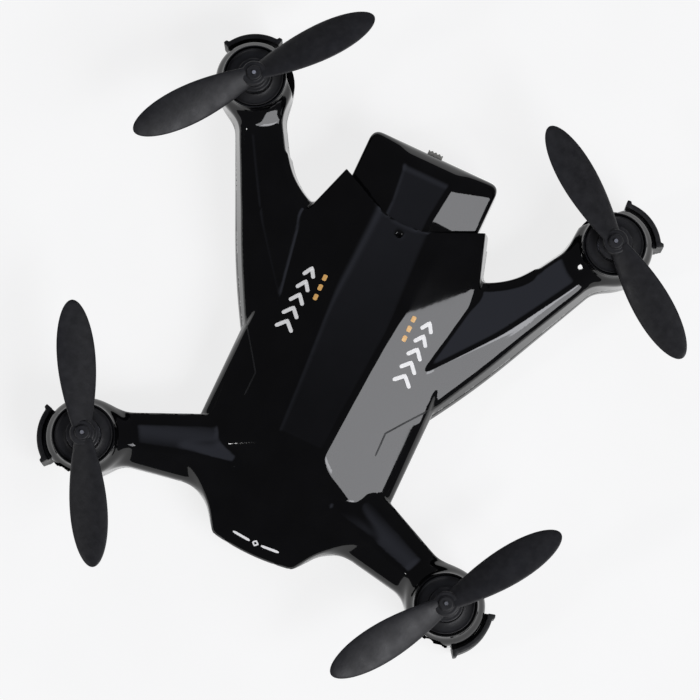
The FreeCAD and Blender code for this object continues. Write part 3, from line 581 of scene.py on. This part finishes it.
KNOB_SIDES = extent("switch_knob", X)
KNOB_LEVELS = extent("switch_knob", Z)
KNOB_REAR = extent("switch_knob", Y)[1]
KNOB_ROOT = PACK_REAR - 1.0
KNOB_RIB = 0.8                  # distance from rib to rib
KNOB_RIB_DEPTH = 0.26
CASE_WALL = 0.9
CASE_CORNER = 0.8
CASE_TRIM = 0.12                # radius of the edges along the split
SLOT_HALF_WIDTH = 2.35
SLOT_HALF_HEIGHT = 1.05
SLOT_FRONT = PACK_REAR - 2.9
REAR_BEVEL = PACK_REAR - 3.2    # where the bevel of the rear end starts
REAR_BEVEL_SLOPE = -1.176
REAR_EDGE = 1.2
REAR_CORNER = 2.2
FRONT_EDGE = 0.5


def from_middle(value, ends):
    """Distance from the middle between two ends."""
    return np.abs(value - (ends[0] + ends[1]) / 2)


def pack_body(x, y, z):
    """The closed case: three facets on top, a bevelled and rounded rear end."""
    around = pack_prism(x, y, z, corner=CASE_CORNER)
    bevel = below(x, y, z, (0, REAR_BEVEL, PACK_TOP), along_y=REAR_BEVEL_SLOPE)
    rear = both(y - PACK_REAR, bevel, REAR_EDGE)
    return both(both(around, rear, REAR_CORNER), PACK_FRONT - y, FRONT_EDGE)


def pack_case_field(x, y, z):
    """The case with its wall, and the slot that the switch knob slides in."""
    outside = pack_body(np.abs(x), y, z)
    up_or_down = from_middle(z, KNOB_LEVELS) - SLOT_HALF_HEIGHT
    slot = all_of(0.2, np.abs(x) - SLOT_HALF_WIDTH, up_or_down, SLOT_FRONT - y)
    case = both(outside, -(outside + CASE_WALL))
    return both(case, -slot)


def upper_case_field(x, y, z):
    return both(pack_case_field(x, y, z), PACK_SPLIT + SEAM - z, CASE_TRIM)


def lower_case_field(x, y, z):
    return both(pack_case_field(x, y, z), z - PACK_SPLIT + SEAM, CASE_TRIM)


def knob_field(x, y, z):
    """A block with upright ribs on its rear face."""
    sideways = from_middle(x, KNOB_SIDES)
    up_or_down = from_middle(z, KNOB_LEVELS)
    half_width = (KNOB_SIDES[1] - KNOB_SIDES[0]) / 2
    half_height = (KNOB_LEVELS[1] - KNOB_LEVELS[0]) / 2
    valley = KNOB_RIB_DEPTH / 2 * (1 - np.cos(2 * math.pi * sideways / KNOB_RIB))
    block = all_of(0.25, sideways - half_width, up_or_down - half_height, y + valley - KNOB_REAR)
    return both(block, KNOB_ROOT - y)


def make_pack():
    step = 0.35
    left, right, front, rear = -15.0, 15.2, PACK_FRONT - 0.5, PACK_REAR + 0.6
    low = (left, front, PACK_SPLIT - 1.6 * step)
    upper = new_object("pack_case_upper_moulded",
                       *mesh_from_field(upper_case_field, low, (right, rear, 17.8), step))
    high = (right, rear, PACK_SPLIT + 2 * step)
    lower = new_object("pack_case_lower_moulded",
                       *mesh_from_field(lower_case_field, (left, front, 3.4), high, step))
    low = (KNOB_SIDES[0] - 0.3, KNOB_ROOT - 0.2, KNOB_LEVELS[0] - 0.3)
    high = (KNOB_SIDES[1] + 0.3, KNOB_REAR + 0.3, KNOB_LEVELS[1] + 0.3)
    knob = new_object("switch_knob_ribbed", *mesh_from_field(knob_field, low, high, 0.09))
    return upper, lower, knob


# ---------------------------------------------------------------- propellers

RADIUS = 27.5
BLADE_LEVEL = 22.4
BLADE_START = 0.05              # share of the radius where a blade's root is, inside the hub
CHORD = (3.4, 15.2, -6.7)       # each is a curve over the share of the radius: constant, slope and bend
PITCH = (25.2, -18.5, 3.2)
THICKNESS = (1.15, -0.45, -0.3)
CAMBER = 0.03                   # share of the chord
SHAFT_HOLE = 0.42
REST_TURNS = {"front_left": 56.7, "front_right": 120.0, "rear_left": 144.6, "rear_right": 51.0}


def disc(x, y, z, radius, low, high, edge):
    """A disc around the Z axis with rounded edges."""
    return all_of(edge, from_axis(x, y) - radius, np.abs(z - (low + high) / 2) - (high - low) / 2)


def hub_field(x, y, z):
    """A hub with a narrow crown on top and a flange below, around the hole for the shaft."""
    hub = disc(x, y, z, radius=2.6, low=20.6, high=23.2, edge=0.5)
    crown = disc(x, y, z, radius=1.5, low=21.05, high=23.95, edge=0.3)
    flange = disc(x, y, z, radius=3.5, low=20.3, high=21.0, edge=0.2)
    solid = either(either(hub, flange, 0.3), crown, 0.3)
    return both(solid, SHAFT_HOLE - from_axis(x, y), 0.12)


def curve(terms, share):
    return terms[0] + terms[1] * share + terms[2] * share ** 2


def blade(handed, half_turn, sections=64, around=40):
    """One twisted blade along the X axis, or opposite with half_turn; handed is 1 or -1.

    Its sections stand closer together towards the tip, where its outline is round."""
    shares = 1 - (1 - np.linspace(BLADE_START ** 0.5, 1, sections)) ** 2
    shares = BLADE_START + (1 - BLADE_START) * (shares - shares[0]) / (1 - shares[0])
    share = shares[:, None]
    outline = np.sqrt(np.maximum(1 - share ** 2, 0))
    chord = curve(CHORD, share) * np.maximum(outline, 0.02)
    pitch = np.radians(curve(PITCH, share)) * handed
    thickness = curve(THICKNESS, share) * np.clip(outline * 4, 0.1, 1)
    camber = CAMBER * chord
    turn = np.linspace(0, 2 * math.pi, around, endpoint=False)[None, :]
    place = np.cos(turn)
    along = chord / 2 * place
    skin = thickness / 2 * np.sign(np.sin(turn)) * np.abs(np.sin(turn)) ** 0.8
    lift = skin - camber * (place ** 2 - 0.33)
    across = along * np.cos(pitch) - lift * np.sin(pitch)
    rise = along * np.sin(pitch) + lift * np.cos(pitch)
    reach = RADIUS * share + 0 * turn
    sign = -1 if half_turn else 1
    vertices = np.stack([sign * reach, sign * across, BLADE_LEVEL + rise], 2).reshape(-1, 3)
    return vertices, blade_faces(sections, around)


def blade_faces(sections, around):
    """Quads between the sections, and across the first and the last one."""
    faces = []
    for i in range(sections - 1):
        for j in range(around):
            over = (j + 1) % around
            faces.append((i * around + j, (i + 1) * around + j, (i + 1) * around + over, i * around + over))
    for start, order in ((0, 1), ((sections - 1) * around, -1)):
        for j in range(around // 2 - 1):
            strip = (start + j, start + j + 1, start + around - 2 - j, start + around - 1 - j)
            faces.append(strip[::order])
    return np.array(faces)


def propeller_mesh(handed):
    """A hub and two blades whose roots run into it."""
    step = 0.16
    vertices, faces = mesh_from_field(hub_field, (-4, -4, 20.0), (4, 4, 24.4), step)
    for half_turn in (False, True):
        more_vertices, more_faces = blade(handed, half_turn)
        faces = np.concatenate([faces, more_faces + len(vertices)])
        vertices = np.concatenate([vertices, more_vertices])
    return vertices, faces


def make_propellers():
    """Neighbours are mirror images, because they turn in opposite directions."""
    meshes = {handed: propeller_mesh(handed) for handed in (1, -1)}
    made = {}
    for corner, (x_sign, y_sign) in CORNERS.items():
        vertices, faces = meshes[x_sign * y_sign]
        turn = math.radians(REST_TURNS[corner])
        turned = np.empty_like(vertices)
        turned[:, 0] = vertices[:, 0] * math.cos(turn) - vertices[:, 1] * math.sin(turn) + x_sign * MOTOR
        turned[:, 1] = vertices[:, 0] * math.sin(turn) + vertices[:, 1] * math.cos(turn) + y_sign * MOTOR
        turned[:, 2] = vertices[:, 2]
        made[corner] = new_object(f"propeller_{corner}_blades", turned, faces, sharp=50)
    return made


# ---------------------------------------------------------------- pods

FOOT_FACES = {"front": -20.0, "rear": 62.0}     # direction that a left foot faces, degrees
FOOT_HALF_SPAN = math.radians(36)
FOOT_TOP = extent("foot_rear_left", Z)[1]
FOOT_INSIDE = 8.25              # the foot's inner radius, just outside the pod
FOOT_WALL = 10.0
FOOT_WALL_BOTTOM = 1.5
FOOT_TREAD = 9.4
FOOT_TREAD_TOP = 3.0
FOOT_LIP = 10.5
FOOT_LIP_INSIDE = 8.3
FOOT_LIP_BOTTOM = 2.6
FOOT_LIP_WIDTH = 0.9
FOOT_STEP = 8.95                # above FOOT_STEP_LEVEL the inner radius is this large
FOOT_STEP_LEVEL = 10.3

# Radius and height of each corner.
CAP_PROFILE = (
    (3.6, 17.62), (6.05, 17.62), (6.05, 18.35), (5.95, 18.5), (5.75, 18.55), (5.6, 18.45),
    (5.3, 18.42), (4.1, 18.42), (3.95, 18.5), (3.7, 18.55), (3.6, 18.48),
)
RIM_PROFILE = (
    (6.15, 16.9), (6.6, 16.9), (6.6, 18.72), (6.54, 18.88),
    (6.42, 18.97), (6.3, 18.97), (6.2, 18.9), (6.15, 18.78),
)


def foot_field(face):
    """A rubber bumper around a pod at the origin: a wall with a tread below and a lip at each end."""
    direction = math.radians(face)

    def field(x, y, z):
        outward = x * math.cos(direction) + y * math.sin(direction)
        across = np.abs(y * math.cos(direction) - x * math.sin(direction))
        away = from_axis(x, y)
        end = across * math.cos(FOOT_HALF_SPAN) - outward * math.sin(FOOT_HALF_SPAN)
        wall = all_of(0.5, away - FOOT_WALL, FOOT_INSIDE - away, z - FOOT_TOP, FOOT_WALL_BOTTOM - z)
        tread = all_of(0.5, away - FOOT_TREAD, FOOT_INSIDE - away, -z, z - FOOT_TREAD_TOP)
        lip = all_of(0.3, away - FOOT_LIP, FOOT_LIP_INSIDE - away, z - FOOT_TOP, FOOT_LIP_BOTTOM - z,
                     -FOOT_LIP_WIDTH - end)
        step = both(away - FOOT_STEP, FOOT_STEP_LEVEL - z, 0.3)
        solid = either(either(wall, tread, 0.3), lip, 0.4)
        return both(both(solid, -step, 0.1), end, 0.25)
    return field


def make_feet():
    step = 0.22
    low, high = (-5, -11.2, -0.4), (11.2, 11.2, 13.2)
    made = {}
    for end, y_sign in (("front", -1), ("rear", 1)):
        vertices, faces = mesh_from_field(foot_field(FOOT_FACES[end]), low, high, step)
        left = vertices + (MOTOR, y_sign * MOTOR, 0)
        made[f"{end}_left"] = new_object(f"foot_{end}_left_bumper", left, faces)
        made[f"{end}_right"] = new_object(f"foot_{end}_right_bumper", left * (-1, 1, 1), faces[:, ::-1])
    return made


def lathe(name, profile, centre, segments=96):
    """A closed profile of radius and height turned about a vertical axis."""
    turns = np.linspace(0, 2 * math.pi, segments, endpoint=False)
    radius = np.array([point[0] for point in profile])
    height = np.array([point[1] for point in profile])
    vertices = np.stack([
        centre[0] + np.outer(np.cos(turns), radius),
        centre[1] + np.outer(np.sin(turns), radius),
        np.tile(height, (segments, 1)),
    ], axis=2).reshape(-1, 3)
    count = len(profile)
    faces = []
    for i in range(segments):
        for j in range(count):
            right, over = (i + 1) % segments, (j + 1) % count
            faces.append((i * count + j, right * count + j, right * count + over, i * count + over))
    return new_object(name, vertices, np.array(faces))


def make_rims():
    return [lathe(f"pod_rim_{corner}", RIM_PROFILE, (x_sign * MOTOR, y_sign * MOTOR))
            for corner, (x_sign, y_sign) in CORNERS.items()]


def make_caps():
    return {corner: lathe(f"motor_cap_{corner}_disc", CAP_PROFILE, (x_sign * MOTOR, y_sign * MOTOR))
            for corner, (x_sign, y_sign) in CORNERS.items()}


# ---------------------------------------------------------------- printed marks

INK_HALF = 0.05                 # a mark stands this far above the shell, and reaches as far below its surface
# A thin matte black line of painted shade on each flank, along the crease at the root of the rear arm.
CREASE_SHADE_LINE = ((14.9, -19.2), (14.8, -14.1), (17.4, -10.4), (21.2, -5.2))
CREASE_SHADE_WIDTH = 0.32
CHEVRON_LINE = 13.4             # distance of the chevrons' points from the middle
CHEVRON_START = -3.6
CHEVRON_HEIGHT = 1.9
DASH_LINE = 10.1
DASH_STARTS = (4.4, 6.6, 8.8)


def shell_height(x, y):
    """Height of the shell's outside at points seen from above, found by halving."""
    low = np.full(np.shape(x), 8.0)
    high = np.full(np.shape(x), 20.0)
    for _ in range(22):
        middle = (low + high) / 2
        inside = airframe(np.abs(x), y, middle) < 0
        low = np.where(inside, middle, low)
        high = np.where(inside, high, middle)
    return low


def stroke(line, width):
    """A band along a line with narrower ends, as vertices and faces of a thin closed strip on the shell."""
    line = np.array(line, float)
    parts = [np.linspace(a, b, 9)[:-1] for a, b in zip(line[:-1], line[1:])]
    dense = np.concatenate(parts + [line[-1:]])
    ahead = np.gradient(dense, axis=0)
    ahead /= np.linalg.norm(ahead, axis=1, keepdims=True)
    aside = np.stack([-ahead[:, 1], ahead[:, 0]], 1)
    half = np.full(len(dense), width / 2)
    half[[0, -1]] *= 0.55
    left = dense + aside * half[:, None]
    right = dense - aside * half[:, None]
    plan = np.stack([left, right], 1).reshape(-1, 2)
    level = shell_height(plan[:, 0], plan[:, 1])
    top = np.column_stack([plan, level + INK_HALF])
    base = np.column_stack([plan, level - INK_HALF])
    count = len(plan)
    faces = [(0, count, count + 1, 1), (count - 1, 2 * count - 1, 2 * count - 2, count - 2)]
    for i in range(0, count - 2, 2):
        faces.append((i, i + 1, i + 3, i + 2))
        faces.append((count + i + 2, count + i + 3, count + i + 1, count + i))
        faces.append((i + 2, count + i + 2, count + i, i))
        faces.append((i + 1, count + i + 1, count + i + 3, i + 3))
    return np.concatenate([top, base]), np.array(faces)


def make_mark(name, strokes):
    """One piece from several strokes, each given as its line and its width."""
    vertices, faces, start = [], [], 0
    for line, width in strokes:
        piece_vertices, piece_faces = stroke(line, width)
        vertices.append(piece_vertices)
        faces.append(piece_faces + start)
        start += len(piece_vertices)
    return new_object(name, np.concatenate(vertices), np.concatenate(faces), smooth=False)


def chevrons(sign, count=5, spacing=3.0, width=0.8):
    """A row along the flank that gets narrower to the rear."""
    strokes = []
    for n in range(count):
        y = CHEVRON_START + spacing * n
        reach = 1.9 - 0.18 * n
        line = ((CHEVRON_LINE - reach, y), (CHEVRON_LINE, y + CHEVRON_HEIGHT), (CHEVRON_LINE + reach, y))
        strokes.append(([(sign * across, along) for across, along in line], width))
    return strokes


def dashes(sign, length=1.3, width=0.9):
    """Three dashes in a row beside the chevrons."""
    return [([(sign * DASH_LINE, y), (sign * DASH_LINE, y + length)], width) for y in DASH_STARTS]


def nose_line():
    """Two dashes with a small diamond between them."""
    return [([(-5.2, -45.4), (-1.3, -45.7)], 0.5), ([(1.3, -45.7), (5.2, -45.4)], 0.5),
            ([(-0.6, -45.7), (0, -45.2), (0.6, -45.7), (0, -46.2), (-0.6, -45.7)], 0.3)]


def make_marks():
    """Plain marks that say nothing, and on each flank a thin matte black line of painted shade along a
    crease.
    """
    white, amber, crease_shades = [], [], []
    for side, sign in (("left", 1), ("right", -1)):
        white.append(make_mark(f"mark_{side}_chevrons", chevrons(sign)))
        # the matte black line of painted shade along the flank's crease
        crease_shade = [(sign * x, y) for x, y in CREASE_SHADE_LINE]
        crease_shades.append(make_mark(f"painted_crease_shade_{side}", [(crease_shade, CREASE_SHADE_WIDTH)]))
        amber.append(make_mark(f"mark_{side}_dashes", dashes(sign)))
    white.append(make_mark("mark_nose_line", nose_line()))
    return white, amber, crease_shades


# ---------------------------------------------------------------- materials

# Two colours that the surface drifts between, and its range of roughness. grain is the width of the surface
# grain, bump its height, and patch the width of the colour's patches, all three in millimetres.
LOOKS = {
    "gloss_black": dict(dark=(0.0012, 0.0012, 0.0015), light=(0.0028, 0.0028, 0.0034),
                        roughness=(0.03, 0.075), grain=9, bump=0.006, patch=6),
    "matte_black": dict(dark=(0.010, 0.010, 0.011), light=(0.018, 0.018, 0.020),
                        roughness=(0.42, 0.55), grain=0.35, bump=0.03, patch=2),
    "propeller_black": dict(dark=(0.013, 0.013, 0.015), light=(0.026, 0.026, 0.029),
                            roughness=(0.42, 0.58), grain=0.5, bump=0.02, patch=1.4),
    "rubber_black": dict(dark=(0.009, 0.009, 0.010), light=(0.020, 0.020, 0.021),
                         roughness=(0.45, 0.7), grain=0.6, bump=0.04, patch=1.8),
    "steel": dict(dark=(0.52, 0.52, 0.53), light=(0.70, 0.70, 0.72),
                  roughness=(0.18, 0.34), grain=0.3, bump=0.004, metallic=1.0, patch=1.0),
    "end_bell_white": dict(dark=(0.62, 0.61, 0.57), light=(0.75, 0.74, 0.70),
                           roughness=(0.35, 0.5), grain=0.5, bump=0.01),
    "circuit_board": dict(dark=(0.010, 0.060, 0.035), light=(0.020, 0.110, 0.060),
                          roughness=(0.22, 0.4), grain=0.8, bump=0.02, patch=1.2),
    "chip_black": dict(dark=(0.012, 0.012, 0.013), light=(0.024, 0.024, 0.026),
                       roughness=(0.45, 0.6), grain=0.15, bump=0.01, patch=0.8),
    "wire_jacket": dict(dark=(0.25, 0.03, 0.02), light=(0.36, 0.05, 0.03),
                        roughness=(0.35, 0.5), grain=0.4, bump=0.01, patch=2),
    "brass": dict(dark=(0.72, 0.47, 0.17), light=(0.86, 0.62, 0.27),
                  roughness=(0.2, 0.38), grain=0.3, bump=0.004, metallic=1.0, patch=1.0),
    "cell_foil": dict(dark=(0.55, 0.56, 0.58), light=(0.72, 0.73, 0.75),
                      roughness=(0.28, 0.45), grain=2.2, bump=0.12, metallic=1.0),
    "switch_grey": dict(dark=(0.30, 0.29, 0.26), light=(0.46, 0.45, 0.41),
                        roughness=(0.38, 0.55), grain=0.3, bump=0.02, patch=0.7),
    "screw_black": dict(dark=(0.05, 0.05, 0.055), light=(0.11, 0.11, 0.12),
                        roughness=(0.28, 0.42), grain=0.25, bump=0.006, metallic=1.0, patch=0.6),
    # The inks glow a little: painted light that makes the print brighter than the lamps light it.
    "ink_white": dict(dark=(0.72, 0.72, 0.72), light=(0.86, 0.86, 0.86),
                      roughness=(0.25, 0.4), grain=0.3, bump=0.004, patch=0.5,
                      glow=(0.8, 0.8, 0.8), glow_strength=0.35),
    "ink_amber": dict(dark=(0.60, 0.33, 0.10), light=(0.80, 0.50, 0.18),
                      roughness=(0.25, 0.4), grain=0.3, bump=0.004, patch=0.5,
                      glow=(0.8, 0.45, 0.15), glow_strength=0.35),
    "paper_white": dict(dark=(0.25, 0.25, 0.25), light=(0.28, 0.28, 0.28),
                        roughness=(0.85, 0.95), grain=1.0, bump=0.01, patch=30, specular=0.1,
                        glow=(1, 1, 1), glow_strength=0.80),
}


def finish(name, dark, light, roughness, grain, bump, patch=3.0, metallic=0.0, specular=0.5,
           glow=(1, 1, 1), glow_strength=0.0):
    """The material of one of the looks above: noise drives its colour, its roughness and its relief."""
    material = bpy.data.materials.new(name)
    material.use_nodes = True
    nodes, links = material.node_tree.nodes, material.node_tree.links
    shader = nodes["Principled BSDF"]
    shader.inputs["Metallic"].default_value = metallic
    shader.inputs["Specular IOR Level"].default_value = specular
    shader.inputs["Emission Color"].default_value = (*glow, 1)
    shader.inputs["Emission Strength"].default_value = glow_strength
    place = nodes.new("ShaderNodeTexCoord")

    def noise(width, detail):
        node = nodes.new("ShaderNodeTexNoise")
        node.inputs["Scale"].default_value = 1 / (width * MM)
        node.inputs["Detail"].default_value = detail
        links.new(place.outputs["Object"], node.inputs["Vector"])
        return node.outputs["Fac"]

    colours = nodes.new("ShaderNodeValToRGB")
    colours.color_ramp.elements[0].position = 0.32
    colours.color_ramp.elements[1].position = 0.72
    colours.color_ramp.elements[0].color = (*dark, 1)
    colours.color_ramp.elements[1].color = (*light, 1)
    links.new(noise(patch, 6), colours.inputs["Fac"])
    links.new(colours.outputs["Color"], shader.inputs["Base Color"])
    shine = nodes.new("ShaderNodeMapRange")
    shine.inputs["From Min"].default_value = 0.35
    shine.inputs["From Max"].default_value = 0.75
    shine.inputs["To Min"].default_value = roughness[0]
    shine.inputs["To Max"].default_value = roughness[1]
    links.new(noise(patch * 2.3, 8), shine.inputs["Value"])
    links.new(shine.outputs["Result"], shader.inputs["Roughness"])
    relief = nodes.new("ShaderNodeBump")
    relief.inputs["Strength"].default_value = 1.0
    relief.inputs["Distance"].default_value = bump * MM
    links.new(noise(grain, 2), relief.inputs["Height"])
    links.new(relief.outputs["Normal"], shader.inputs["Normal"])
    return material


FINISHES = {name: finish(name, **look) for name, look in LOOKS.items()}


def dress(piece, finish_name, body=None, node=None):
    """Gives a piece its finish and the CAD body it rides on, and hides the CAD node it stands for."""
    piece.data.materials.clear()
    piece.data.materials.append(FINISHES[finish_name])
    if body:
        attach(piece, body)
    if node:
        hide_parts(node)


# ---------------------------------------------------------------- assembly

# Finish of each CAD node that is carried over, by the start of its name.
KEPT = {
    "motor_can": "steel", "motor_end_bell": "end_bell_white", "motor_shaft": "steel",
    "motor_leads": "wire_jacket", "flight_board": "circuit_board", "flight_controller": "chip_black",
    "radio_chip": "chip_black", "gyro_chip": "chip_black", "radio_crystal": "steel",
    "antenna_wire": "wire_jacket", "bay_contacts": "brass", "pack_contacts": "brass",
    "protection_board": "circuit_board", "battery_cell": "cell_foil", "switch_housing": "steel",
    "shell_screws": "screw_black",
}


def build_shells():
    upper, lower = make_shells()
    dress(upper, "gloss_black", "airframe", "upper_shell")
    dress(lower, "gloss_black", "airframe", "lower_shell")


def build_pack():
    upper, lower, knob = make_pack()
    dress(upper, "gloss_black", "battery_pack", "pack_case_upper")
    dress(lower, "gloss_black", "battery_pack", "pack_case_lower")
    dress(knob, "switch_grey", "power_switch", "switch_knob")


def build_propellers():
    for corner, propeller in make_propellers().items():
        dress(propeller, "propeller_black", f"rotor_{corner}", f"propeller_{corner}")


def build_pods():
    for corner, foot in make_feet().items():
        dress(foot, "rubber_black", "airframe", f"foot_{corner}")
    for corner, cap in make_caps().items():
        dress(cap, "matte_black", "airframe", f"motor_cap_{corner}")
    for rim in make_rims():
        dress(rim, "gloss_black", "airframe")


def print_marks():
    white, amber, crease_shades = make_marks()
    # The matte black lines on the flanks are painted shade.
    for pieces, finish_name in ((white, "ink_white"), (amber, "ink_amber"), (crease_shades, "matte_black")):
        for piece in pieces:
            dress(piece, finish_name, "airframe")


def dress_kept_nodes():
    for name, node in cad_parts.items():
        for start, finish_name in KEPT.items():
            if name.startswith(start):
                dress(node, finish_name)


build_shells()
build_pack()
build_propellers()
build_pods()
print_marks()
dress_kept_nodes()


# ---------------------------------------------------------------- floor, light and camera

# Where each light stands: its turn from +X and its rise above the floor in degrees, its distance in metres.
SOFTBOXES = {
    "key_softbox": dict(turn=-17.5, rise=43, distance=2.6, size=(1.60, 1.30), radiance=5.0,
                        colour=(0.96, 0.965, 1.0)),
    "key_core": dict(turn=-24, rise=54, distance=2.5, size=(0.6, 0.4), radiance=4.5,
                     colour=(0.93, 0.94, 1.0)),
    "left_spot": dict(turn=222, rise=38, distance=2.0, size=(0.22, 0.22), radiance=22.0, shape="ELLIPSE"),
}
GLOW_DIRECTION = Vector((-0.22, 0.30, 0.93)).normalized()
GLOW_EDGES = (0.10, 0.36)       # on a unit sphere, how far from its middle it starts to fade and has faded
GLOW_COLOUR = (0.50, 0.53, 0.66)
ROOM_COLOUR = (0.085, 0.085, 0.092)
FLOOR_SIZE = 6                  # metres
FLOOR_GAP = 0.0002              # metres below the feet


def make_floor():
    bpy.ops.mesh.primitive_plane_add(size=FLOOR_SIZE, location=(0, 0, cad_box[0][2] - FLOOR_GAP))
    floor = bpy.context.object
    floor.name = "studio_floor"
    floor.data.materials.append(FINISHES["paper_white"])


def softbox(name, turn, rise, distance, size, radiance, colour=(1, 1, 1), shape="RECTANGLE"):
    """An area light aimed at the drone."""
    light = bpy.data.lights.new(name, "AREA")
    light.shape = shape
    light.size, light.size_y = size
    area = size[0] * size[1] * (math.pi / 4 if shape == "ELLIPSE" else 1)
    light.energy = radiance * math.pi * area
    light.color = colour
    lamp = bpy.data.objects.new(name, light)
    bpy.context.scene.collection.objects.link(lamp)
    turn, rise = math.radians(turn), math.radians(rise)
    away = Vector((math.cos(turn) * math.cos(rise), math.sin(turn) * math.cos(rise), math.sin(rise)))
    lamp.location = away * distance
    lamp.rotation_euler = away.to_track_quat("Z", "Y").to_euler()


def make_room():
    """A dim even room with a soft glow near the zenith, which the gloss mirrors."""
    world = bpy.data.worlds.new("studio")
    bpy.context.scene.world = world
    world.use_nodes = True
    nodes, links = world.node_tree.nodes, world.node_tree.links
    sky = nodes.new("ShaderNodeTexCoord")
    away = nodes.new("ShaderNodeVectorMath")
    away.operation = "DISTANCE"
    away.inputs[1].default_value = GLOW_DIRECTION
    links.new(sky.outputs["Generated"], away.inputs[0])
    glow = nodes.new("ShaderNodeValToRGB")
    glow.color_ramp.interpolation = "EASE"
    for element, edge, colour in zip(glow.color_ramp.elements, GLOW_EDGES, (GLOW_COLOUR, ROOM_COLOUR)):
        element.position = edge
        element.color = (*colour, 1)
    links.new(away.outputs["Value"], glow.inputs["Fac"])
    links.new(glow.outputs["Color"], nodes["Background"].inputs["Color"])
    nodes["Background"].inputs["Strength"].default_value = 1.0


AZIMUTH = math.radians(25.2)
ELEVATION = math.radians(84.0)
DISTANCE = 1000.0               # camera to the plane of the pod rims
FRAME_WIDTH = 143.678           # what the picture's width covers at that plane
AIM_RIGHT, AIM_UP = 0.08, -2.25     # of the picture's middle, from the Z axis
SENSOR = 36.0


def make_camera():
    data = bpy.data.cameras.new("photo_camera")
    data.sensor_width = SENSOR
    data.lens = SENSOR * DISTANCE / FRAME_WIDTH
    data.clip_start = 0.05
    camera = bpy.data.objects.new("photo_camera", data)
    bpy.context.scene.collection.objects.link(camera)
    back = Vector((math.sin(AZIMUTH) * math.cos(ELEVATION), -math.cos(AZIMUTH) * math.cos(ELEVATION),
                   math.sin(ELEVATION)))
    right = Vector((math.cos(AZIMUTH), math.sin(AZIMUTH), 0))
    up = back.cross(right)
    target = Vector((0, 0, SHELL_TOP)) + AIM_RIGHT * right + AIM_UP * up
    turn = Matrix((right, up, back)).transposed().to_4x4()
    camera.matrix_world = Matrix.Translation((target + back * DISTANCE) * MM) @ turn
    bpy.context.scene.camera = camera


make_floor()
for name, settings in SOFTBOXES.items():
    softbox(name, **settings)
make_room()
make_camera()
bpy.context.scene.view_settings.view_transform = "Standard"
